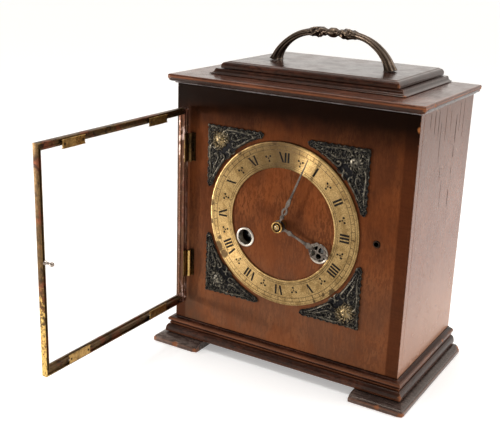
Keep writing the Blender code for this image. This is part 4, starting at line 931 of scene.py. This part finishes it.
SPANDREL_STRANDS = (
    # the main scrolls of one half: along the outer edge, along the ring, and between them
    ([(48, 2.6), (40, 3.6), (32, 3.2), (25, 2.8), (18.5, 3.6), (15.6, 6.4), (17.6, 8.8), (20.2, 7.8),
      (19.4, 6.2)],
     (0.5, 0.75, 0.85, 0.9, 0.9, 0.85, 0.8, 0.7, 0.5)),
    ([(49, 4.4), (42.5, 7.6), (36.5, 11.4), (31, 15.0), (27, 17.4), (24.6, 15.4), (26, 13.2), (28, 14.2)],
     (0.5, 0.7, 0.85, 0.9, 0.85, 0.8, 0.7, 0.5)),
    ([(42, 5.4), (36.5, 6.9), (31.6, 9.6), (27.4, 11.2), (24.2, 9.8), (25.0, 7.6), (27.0, 8.0)],
     (0.4, 0.7, 0.8, 0.8, 0.75, 0.65, 0.5)),
    ([(28, 20.2), (25.4, 22.6), (22.6, 22.2), (21.6, 19.8), (23.2, 18.4)], (0.5, 0.75, 0.8, 0.7, 0.5)),
    ([(14.5, 1.2), (10.4, 1.9), (6.2, 1.4), (3.6, 3.0)], (0.5, 0.7, 0.75, 0.6)),
)


def ridge(bm, place, line, radii, base_y, sides=7, steps=4):
    """A half-round strand standing on the plane base_y."""
    path = smooth_line([(*point, radius) for point, radius in zip(line, radii)], steps)
    rows = []
    for i, (a, b, radius) in enumerate(path):
        back, ahead = path[max(i - 1, 0)], path[min(i + 1, len(path) - 1)]
        along = Vector((ahead[0] - back[0], ahead[1] - back[1])).normalized()
        row = []
        for k in range(sides):
            turn = math.pi * (k / (sides - 1) - 0.5)
            across, height = radius * math.sin(turn), radius * math.cos(turn) * 1.5
            row.append(place(a - along.y * across, b + along.x * across, base_y - height))
        rows.append(row)
    skin(bm, rows, around=False, ends=False)


def mask_height(p, q):
    """A calm, plain mask over the unit disc: q runs from the chin at -1 to the crown at 1."""
    dome = 0.6 * math.sqrt(max(0.0, 1 - p * p - q * q))
    nose = 1.0 * math.exp(-(p / 0.12) ** 2) * math.exp(-((q + 0.02) / 0.24) ** 2)
    brow = 0.6 * math.exp(-((abs(p) - 0.30) / 0.24) ** 2) * math.exp(-((q - 0.36) / 0.09) ** 2)
    eye = -0.7 * math.exp(-((abs(p) - 0.30) / 0.15) ** 2) * math.exp(-((q - 0.18) / 0.08) ** 2)
    cheek = 0.4 * math.exp(-((abs(p) - 0.42) / 0.18) ** 2) * math.exp(-((q + 0.18) / 0.18) ** 2)
    lips = 0.55 * math.exp(-(p / 0.24) ** 2) * math.exp(-((q + 0.42) / 0.08) ** 2)
    chin = 0.35 * math.exp(-(p / 0.22) ** 2) * math.exp(-((q + 0.72) / 0.12) ** 2)
    return dome + nose + brow + eye + cheek + lips + chin


def add_mask(bm, place, centre, base_y):
    """The mask, its chin towards the corner."""
    rows = []
    for ring in range(13):
        share = max(ring / 12, 0.01)
        row = []
        for k in range(36):
            angle = 2 * math.pi * k / 36
            p, q = share * math.cos(angle), share * math.sin(angle)
            across, along = p * 4.4, q * 5.6
            a = centre[0] + (along + across) * math.sqrt(0.5)
            b = centre[1] + (along - across) * math.sqrt(0.5)
            row.append(place(a, b, base_y - 0.3 - mask_height(p, q)))
        rows.append(row)
    skin(bm, rows, ends=False)


MASK_AT = (12.6, 12.6)


def make_spandrel(node, sign_x, sign_z, gilding):
    """A cast corner mount: a scalloped plate, main scrolls, a ground filled with small curls, and a mask."""
    low, high = span(node)
    corner_x, corner_z = (high.x if sign_x > 0 else low.x), (high.z if sign_z > 0 else low.z)
    leg = high.x - low.x
    centre = (abs(corner_x - DIAL.x), abs(corner_z - DIAL.z))
    clear = RING_OUTER + 2.6
    back, front = high.y, low.y

    def place(a, b, y):
        return at(corner_x - sign_x * a, max(y, front), corner_z - sign_z * b)

    def inner_edge(a):
        return centre[1] - math.sqrt(clear ** 2 - (centre[0] - a) ** 2)

    bm = bmesh.new()
    along_ring = [23 + i for i in range(31)]
    inner = [(a, min(a, inner_edge(a)) - 0.7 - 0.5 * abs(math.sin(a * 0.8))) for a in along_ring]
    tip = [(leg - 0.6, 3.2), (leg - 0.1, 2.2), (leg - 1.0, 1.2)]
    along_edge = [leg - 2 - i for i in range(51)]
    edge = [(a, 0.1 + 1.3 * abs(math.sin(a * 0.55 + 0.4)) ** 2) for a in along_edge]
    side = [(22.6, 22.6)] + inner + tip + edge + [(0.3, 0.3)]
    outline = side + [(b, a) for a, b in side[-2:0:-1]]
    skin(bm, [[place(a, b, y) for a, b in outline] for y in (back, back - 0.7)])
    base_y = back - 0.65
    rim = [(a + (0.35 if a < 3 else 0), b + (0.35 if b < 3 else 0)) for a, b in outline + outline[:1]]
    ridge(bm, place, rim, [0.38] * len(rim), base_y, 5, 1)
    for mirrored in (False, True):
        def lay(a, b, y, mirrored=mirrored):
            return place(b, a, y) if mirrored else place(a, b, y)
        for line, radii in SPANDREL_STRANDS:
            ridge(bm, lay, line, radii, base_y)
        for i in range(130):
            a, b = 2.2 + 2.45 * (i % 21), 2.0 + 2.3 * (i // 21)
            a += 0.9 * noise.noise(Vector((i * 3.7, sign_x, 0.5)))
            b += 0.9 * noise.noise(Vector((i * 2.3, sign_z, 7.5)))
            beyond = b > a + 0.8 or (a > 22 and b > inner_edge(a) - 1.6)
            if beyond or math.dist((a, b), MASK_AT) < 5.4:
                continue
            start = 2.4 * i
            turn = 1 if i % 2 else -1
            radius = 1.05 + 0.35 * noise.noise(Vector((i * 1.3, sign_x, sign_z)))
            curl = [polar((a, b), radius * share, start + turn * angle)
                    for angle, share in ((0, 1.25), (1.1, 1.1), (2.2, 0.95), (3.3, 0.75), (4.4, 0.5))]
            ridge(bm, lay, curl, (0.3, 0.5, 0.58, 0.52, 0.4), base_y, 5, 2)
    for i in range(14):
        angle = 2 * math.pi * i / 14
        petals = [polar(MASK_AT, reach, angle + lag) for reach, lag in ((4.6, 0.0), (5.9, 0.12), (7.0, 0.35))]
        ridge(bm, place, petals, (0.8, 0.95, 0.45), base_y, 7, 3)
    add_mask(bm, place, MASK_AT, base_y)
    mesh = mesh_of(bm, node)
    depth = back - front
    wear, gilt = [], []
    # raised parts get a pale grey wear mark: partly rubbed wear, partly painted highlights on the casting's
    # tops
    for vert in mesh.vertices:
        raised = (back - (vert.co.y - FACE_Y) / MM) / depth
        uneven = 0.30 + 1.6 * max(0.0, noise.noise(vert.co / MM * 0.5) + 0.1)
        wear.append(max(0.0, raised - 0.40) / 0.50 * uneven)
        away = (vert.co - place(*MASK_AT, back)).length / MM
        gilt.append(gilding * math.exp(-(away / 8.0) ** 4) * (0.4 + 0.6 * raised))
    paint(mesh, "wear", [min(1.0, value) for value in wear])
    paint(mesh, "gilt", gilt)
    put(node + "_cast", mesh, "black_bronze", "case", (node,), 70)


def make_grommets():
    for tag in ("left", "right"):
        node = "winding_grommet_" + tag
        low, high = span(node)
        centre = (middle(node).x, 0, middle(node).z)
        outer = (high.x - low.x) / 2
        front = low.y
        profile = [(7.1, high.y), (7.1, -0.3), (outer, -0.3), (outer, -0.55), (outer - 0.25, -0.85),
                   (outer - 0.8, front),
                   (outer - 1.5, front), (outer - 1.8, front + 0.25), (6.5, front + 0.9), (6.5, high.y),
                   (7.1, high.y)]
        turned(node + "_collar", profile, centre, "nickel", "case", (node,), 64)
    low, high = span("catch_bush")
    profile = [(2.7, high.y), (2.7, -0.3), (2.55, low.y), (2.15, low.y), (1.95, -0.2), (1.95, high.y),
               (2.7, high.y)]
    centre = (middle("catch_bush").x, 0, middle("catch_bush").z)
    turned("catch_bush_ring", profile, centre, "bronze", "case", ("catch_bush",), 32)


# ---------------------------------------------------------------- hands

def turned_outline(points, clock_deg):
    """Points (across, along) of a hand, as (x, z) at a clock angle about the dial's centre."""
    angle = math.radians(clock_deg)
    return [(DIAL.x + u * math.cos(angle) + v * math.sin(angle),
             DIAL.z + v * math.cos(angle) - u * math.sin(angle))
            for u, v in points]


def blade(hub, left_side):
    """A hand's outline: its hub and a blade whose left side runs from the root to the tip."""
    left = smooth_line(left_side, 6)
    gap = math.degrees(math.asin(abs(left[0][0]) / hub))
    turns = [math.radians(90 + gap + (360 - 2 * gap) * i / 30) for i in range(31)]
    return left[::-1] + [polar((0, 0), hub, turn) for turn in turns] + [(-u, v) for u, v in left]


HOUR_DEG, MINUTE_DEG = 112.0, 22.0


def make_hands():
    low, high = span("minute_hand")
    minute = [(-0.9, 4.1), (-0.8, 7.0), (-1.9, 9.6), (-1.2, 11.6), (-2.6, 14.2), (-2.4, 17.0), (-1.0, 19.4),
              (-1.7, 22.0), (-1.6, 25.0), (-0.95, 28.0), (-0.8, 40.0), (-0.5, 56.0), (-0.2, 65.3)]
    eye = smooth_line([(0, 12.6), (-1.0, 15.2), (0, 17.6), (1.0, 15.2), (0, 12.6)], 4)[:-1]
    shapes = blade(4.2, minute), circle(0, 0, 2.25, 28), eye
    outlines = [turned_outline(points, MINUTE_DEG) for points in shapes]
    cut_out("minute_hand_steel", outlines, low.y, high.y, "hand", "minute_hand_group",
            ("minute_hand",), 0.18)

    low, high = span("hour_hand")
    head, radius = 38.6, 7.4
    hour = [(-1.6, 5.0), (-1.0, 8.0), (-2.2, 11.0), (-1.0, 14.0), (-1.1, 22.0), (-1.5, 27.0), (-2.8, 29.4),
            (-1.9, 31.2)]
    for i in range(19):
        turn = math.radians(250 - 152 * i / 18)
        lobe = radius + 0.45 * math.cos(math.radians(8 * 152 * i / 18))
        across, along = polar((0, head), lobe, turn)
        hour.append((-abs(across), along))
    hour += [(-1.2, 47.2), (-0.5, 49.3)]
    holes = [circle(0, 0, 3.55, 32)]
    for i in range(4):
        turn = math.radians(90 * i + 45)
        across, along = polar((0, head), 3.8, turn)
        petal = [(u * 1.05, v * (1.05 + 0.12 * u)) for u, v in circle(0, 0, 2.3, 20)]
        right, up = math.cos(turn), math.sin(turn)
        holes.append([(across + u * right - v * up, along + u * up + v * right) for u, v in petal])
    outlines = [turned_outline(points, HOUR_DEG) for points in [blade(5.2, hour), *holes]]
    cut_out("hour_hand_steel", outlines, low.y, high.y, "hand", "hour_hand_group",
            ("hour_hand",), 0.16)

    low, high = span("hand_nut")
    centre = (DIAL.x, 0, DIAL.z)
    profile = [(1.45, high.y), (4.9, high.y), (4.9, high.y - 0.8), (4.6, high.y - 1.15), (4.1, high.y - 1.15),
               (3.8, high.y - 0.9), (3.7, high.y - 0.3), (2.5, high.y - 0.3), (2.4, high.y - 1.0),
               (2.1, low.y), (1.6, low.y), (1.45, low.y + 0.2), (1.45, high.y)]
    turned("hand_nut_brass", profile, centre, "brass", "minute_hand_group", ("hand_nut",), 48)
    # a black ring laid in the floor of the nut's groove: painted shade in the recess
    groove = [(2.35, high.y - 0.32), (2.5, high.y - 0.45), (3.65, high.y - 0.45), (3.75, high.y - 0.32)]
    turned("hand_nut_groove", groove, centre, "wax", "minute_hand_group", steps=40)
    tip = [(1.4, high.y), (1.4, low.y - 0.1), (1.2, low.y - 0.22), (0.7, low.y - 0.29), (0.02, low.y - 0.3)]
    turned("centre_arbor_tip", tip, centre, "steel", "minute_hand_group", steps=24)


# ---------------------------------------------------------------- front door

HINGE = pivot("front_door_hinge")
DOOR_LOW, DOOR_HIGH = span("door_frame")
DOOR_BACK = HINGE.y + (DOOR_HIGH.x - HINGE.x)
DOOR_LEFT, DOOR_RIGHT = HINGE.x - (DOOR_HIGH.y - HINGE.y), HINGE.x - (DOOR_LOW.y - HINGE.y)
STILE_HINGE, STILE_FREE, RAIL_TOP, RAIL_BOTTOM = 6.9, 4.3, 6.4, 6.8


def opened(x, y, z):
    """A point given on the closed door, in its place on the open one."""
    return at(HINGE.x + (y - HINGE.y), HINGE.y - (x - HINGE.x), z)


def make_door():
    """The door's moulded frame, its glass, and everything fixed to it."""
    left, right, low, high = DOOR_LEFT, DOOR_RIGHT, DOOR_LOW.z, DOOR_HIGH.z
    outer = [(left, low), (right, low), (right, high), (left, high)]
    left, right, low, high = left + STILE_HINGE, right - STILE_FREE, low + RAIL_BOTTOM, high - RAIL_TOP
    inner = [(left, low), (right, low), (right, high), (left, high)]
    # section from the outer back edge across the back, through the glass rebate and over the front:
    # each point's share of the way from the outer to the inner edge, and its y from DOOR_BACK
    section = [(0.0, -0.45), (0.03, -0.1), (0.08, 0.0), (0.13, 0.0), (0.17, -0.15), (0.19, -1.2),
               (0.24, -1.5), (0.56, -1.5), (0.61, -1.2), (0.63, -0.6), (0.69, -0.3), (0.75, -0.3),
               (0.80, -0.6), (0.82, -1.5), (0.86, -3.0), (1.0, -3.3), (1.0, -5.0), (0.95, -5.35),
               (0.6, -5.4), (0.3, -5.4), (0.12, -5.25), (0.03, -4.8), (0.0, -4.1)]
    steps = 40
    rows = []
    for corner, following in ((0, 1), (1, 2), (2, 3), (3, 0)):
        for i in range(steps):
            row = []
            for across, depth in section:
                start, stop = [between(outer[index], inner[index], across) for index in (corner, following)]
                x, z = between(start, stop, i / steps)
                row.append(opened(x, DOOR_BACK + depth, z))
            rows.append(row)
    rows.append(rows[0])
    mesh = skinned("door_frame_brass", rows, ends=False, weld=True)
    layer = []
    for vert in mesh.vertices:
        depth = vert.co.x / MM - DOOR_HIGH.x
        rim = 1.0 if depth > -0.35 or depth < -5.2 else 0.15
        layer.append(rim * (0.15 + 0.9 * noise.noise(vert.co / MM * 0.05)))
    paint(mesh, "wear", [min(1.0, max(0.0, value)) for value in layer])
    free_edge, hinge_edge = DOOR_LOW.y, DOOR_HIGH.y - STILE_HINGE
    depths = [(vert.co.y - FACE_Y) / MM for vert in mesh.vertices]
    paint(mesh, "gilt", [1.0 if y < free_edge + 0.7 else 0.0 for y in depths])
    paint(mesh, "solder", [1.0 if y > hinge_edge - 0.5 else 0.0 for y in depths])
    put("door_frame_brass", mesh, "frame", "front_door", ("door_frame",), 30)

    low, high = span("door_glass")
    corners = [(low.y + 1, low.z + 1), (high.y - 1, low.z + 1), (high.y - 1, high.z - 1),
               (low.y + 1, high.z - 1)]
    sheet = skinned("door_glass_sheet", [[at(x, y, z) for y, z in corners] for x in (low.x + 0.1, high.x)])
    put("door_glass_sheet", sheet, "glass", "front_door", ("door_glass",))
    make_clips()
    make_catch_pin()
    low, high = span("hinge_leaf_door_lower")
    sleeve = [(1.3, low.z + 0.2), (1.68, low.z + 0.4), (1.68, high.z - 0.4), (1.3, high.z - 0.2)]
    turned("hinge_sleeve", sleeve, (HINGE.x, HINGE.y, 0), "movement", "front_door", steps=24,
           axis="Z")


def make_clips():
    """Four soldered strips that keep the glass in, each with a lump of solder at its ends."""
    for row in ("top", "bottom"):
        for side in ("inner", "outer"):
            node = f"glass_clip_{row}_{side}"
            low, high = span(node)
            outline = smooth_line([(low.y, low.z + 0.6), (low.y + 1.0, low.z), (high.y - 1.0, low.z),
                                   (high.y, low.z + 0.8), (high.y, high.z - 0.8), (high.y - 1.0, high.z),
                                   (low.y + 1.0, high.z), (low.y, high.z - 0.6)], 2)
            centre = middle(node)
            rows = []
            for x, inset in ((low.x, 0.0), (high.x - 0.25, 0.0), (high.x, 0.25)):
                rows.append([at(x, y + (centre.y - y) * inset * 0.08, z + (centre.z - z) * inset * 0.3)
                             for y, z in outline])
            put(node + "_strip", skinned(node, rows), "brass", "front_door", (node,))
            for index, y in enumerate((low.y + 2.0, high.y - 2.0)):
                solder_lump(f"{node}_solder_{index}", (low.x, y, centre.z), high.x)


def solder_lump(name, centre, limit_x):
    rows = []
    for ring in range(7):
        turn = math.radians(15 * ring)
        row = []
        for k in range(20):
            angle = 2 * math.pi * k / 20
            y, z = 1.9 * math.cos(turn) * math.cos(angle), 1.7 * math.cos(turn) * math.sin(angle)
            lump = 1 + 0.35 * noise.noise(Vector((y * 0.6 + centre[1], z * 0.6 + centre[2], ring * 0.2)))
            x = min(centre[0] + math.sin(turn), limit_x)
            row.append(at(x, centre[1] + y * lump, centre[2] + z * lump))
        rows.append(row)
    put(name, skinned(name, rows, weld=True), "solder", "front_door")


def make_catch_pin():
    low, high = span("catch_pin")
    ball = (high.z - low.z) / 2
    centre = middle("catch_pin")
    profile = [(0.0, low.x), (1.8, low.x), (1.8, low.x + 0.6), (1.5, low.x + 1.0), (1.25, low.x + 1.3)]
    for i in range(13):
        turn = math.radians(150 - 12.5 * i)
        profile.append((ball * math.sin(turn), high.x - ball + ball * math.cos(turn)))
    turned("catch_pin_turned", profile, (0, centre.y, centre.z), "pin", "front_door",
           ("catch_pin",), 32, "X")


# ---------------------------------------------------------------- nodes that keep their CAD mesh

NODE_MATERIALS = {
    "inner": ("back_frame", "back_door"),
    "brass": ("back_hinge_case", "back_hinge_door", "turn_button"),
    "hinge": ("hinge_leaf_case_upper", "hinge_leaf_case_lower", "hinge_leaf_door_upper",
              "hinge_leaf_door_lower"),
    "movement": ("front_plate", "back_plate", "going_barrel", "strike_barrel", "going_second_wheel",
                 "strike_second_wheel", "centre_wheel", "third_wheel", "escape_wheel", "cannon_pinion",
                 "minute_wheel",
                 "hour_wheel", "strike_pin_wheel", "strike_fly", "pendulum_bob"),
    "steel": ("anchor", "pendulum_rod", "strike_hammer", "going_winding_arbor", "strike_winding_arbor"),
    "blued": ("gong_coil",),
    "iron": ("gong_block",),
}


def dress_nodes():
    for material, names in NODE_MATERIALS.items():
        for name in names:
            slots = frame["nodes"][name].data.materials
            slots.clear()
            slots.append(MATERIAL[material])


# ---------------------------------------------------------------- floor, lights and camera

# name, place, watts, size in millimetres, tint
LIGHTS = (("key", (-900, -700, 110), 7.5, 130, (1.0, 0.98, 0.95)),
          ("overhead", (-60, -60, 1150), 5.5, 400, (1.0, 1.0, 1.0)),
          ("right_rear", (900, 620, 520), 5, 600, (1.0, 0.98, 0.96)))
LIGHT_AIM = (0, 40, 130)
CAMERA_AT, CAMERA_AIM, CAMERA_ROLL = (320.6, -596.0, 353.8), (-23.7, -15.9, 142.1), 2.0
LENS, SENSOR = 62.12, 36
FLOOR_SIZE, FLOOR_GLOW = 6.0, 0.32


def make_stage():
    bpy.context.scene.view_settings.view_transform = "Standard"
    mesh = bpy.data.meshes.new("floor")
    bm = bmesh.new()
    bmesh.ops.create_grid(bm, x_segments=1, y_segments=1, size=FLOOR_SIZE)
    bm.to_mesh(mesh)
    bm.free()
    floor = bpy.data.objects.new("floor", mesh)
    bpy.context.scene.collection.objects.link(floor)
    shader = Shader("floor")
    tone = shader.mix(shader.noise(60, detail=2), (0.86, 0.86, 0.86, 1), (0.88, 0.88, 0.88, 1))
    mesh.materials.append(shader.finish(tone, 0.75, Specular_IOR_Level=0.2, Emission_Color=(1, 1, 1, 1),
                                        Emission_Strength=FLOOR_GLOW))

    bpy.context.scene.world = studio_world()
    for light in LIGHTS:
        add_light(*light)


def studio_world():
    """White surroundings, bright behind the clock and dimmer on the side it is seen from."""
    world = bpy.data.worlds.new("studio")
    world.use_nodes = True
    nodes, links = world.node_tree.nodes, world.node_tree.links
    direction = nodes.new("ShaderNodeSeparateXYZ")
    links.new(nodes.new("ShaderNodeTexCoord").outputs["Generated"], direction.inputs[0])
    strength = nodes.new("ShaderNodeMapRange")
    links.new(direction.outputs["Y"], strength.inputs["Value"])
    for socket, value in (("From Min", -0.9), ("From Max", 0.7), ("To Min", 0.22), ("To Max", 1.24)):
        strength.inputs[socket].default_value = value
    background = nodes["Background"]
    links.new(strength.outputs[0], background.inputs["Strength"])
    background.inputs["Color"].default_value = (1.0, 0.965, 0.92, 1)
    return world


def add_light(name, place, watts, size, tint):
    lamp = bpy.data.lights.new(name, "AREA")
    lamp.energy = watts
    lamp.size = size * MM
    lamp.color = tint
    light = bpy.data.objects.new(name, lamp)
    light.location = at(*place)
    aim = at(*LIGHT_AIM) - light.location
    light.rotation_euler = aim.to_track_quat("-Z", "Y").to_euler()
    bpy.context.scene.collection.objects.link(light)


def make_camera():
    data = bpy.data.cameras.new("camera")
    data.lens = LENS
    data.sensor_width = SENSOR
    camera = bpy.data.objects.new("camera", data)
    camera.location = at(*CAMERA_AT)
    aim = (at(*CAMERA_AIM) - camera.location).to_track_quat("-Z", "Y").to_matrix()
    roll = Matrix.Rotation(math.radians(CAMERA_ROLL), 3, "Z")
    camera.rotation_euler = (aim @ roll).to_euler()
    bpy.context.scene.collection.objects.link(camera)
    bpy.context.scene.camera = camera


make_mouldings()
make_plinth(1, "right")
make_plinth(-1, "left")
make_walls()
make_handle()
make_dial()
make_spandrel("spandrel_top_left", -1, 1, 0.55)
make_spandrel("spandrel_top_right", 1, 1, 0.0)
make_spandrel("spandrel_bottom_left", -1, -1, 0.0)
make_spandrel("spandrel_bottom_right", 1, -1, 0.65)
make_grommets()
make_hands()
make_door()
dress_nodes()
make_stage()
make_camera()
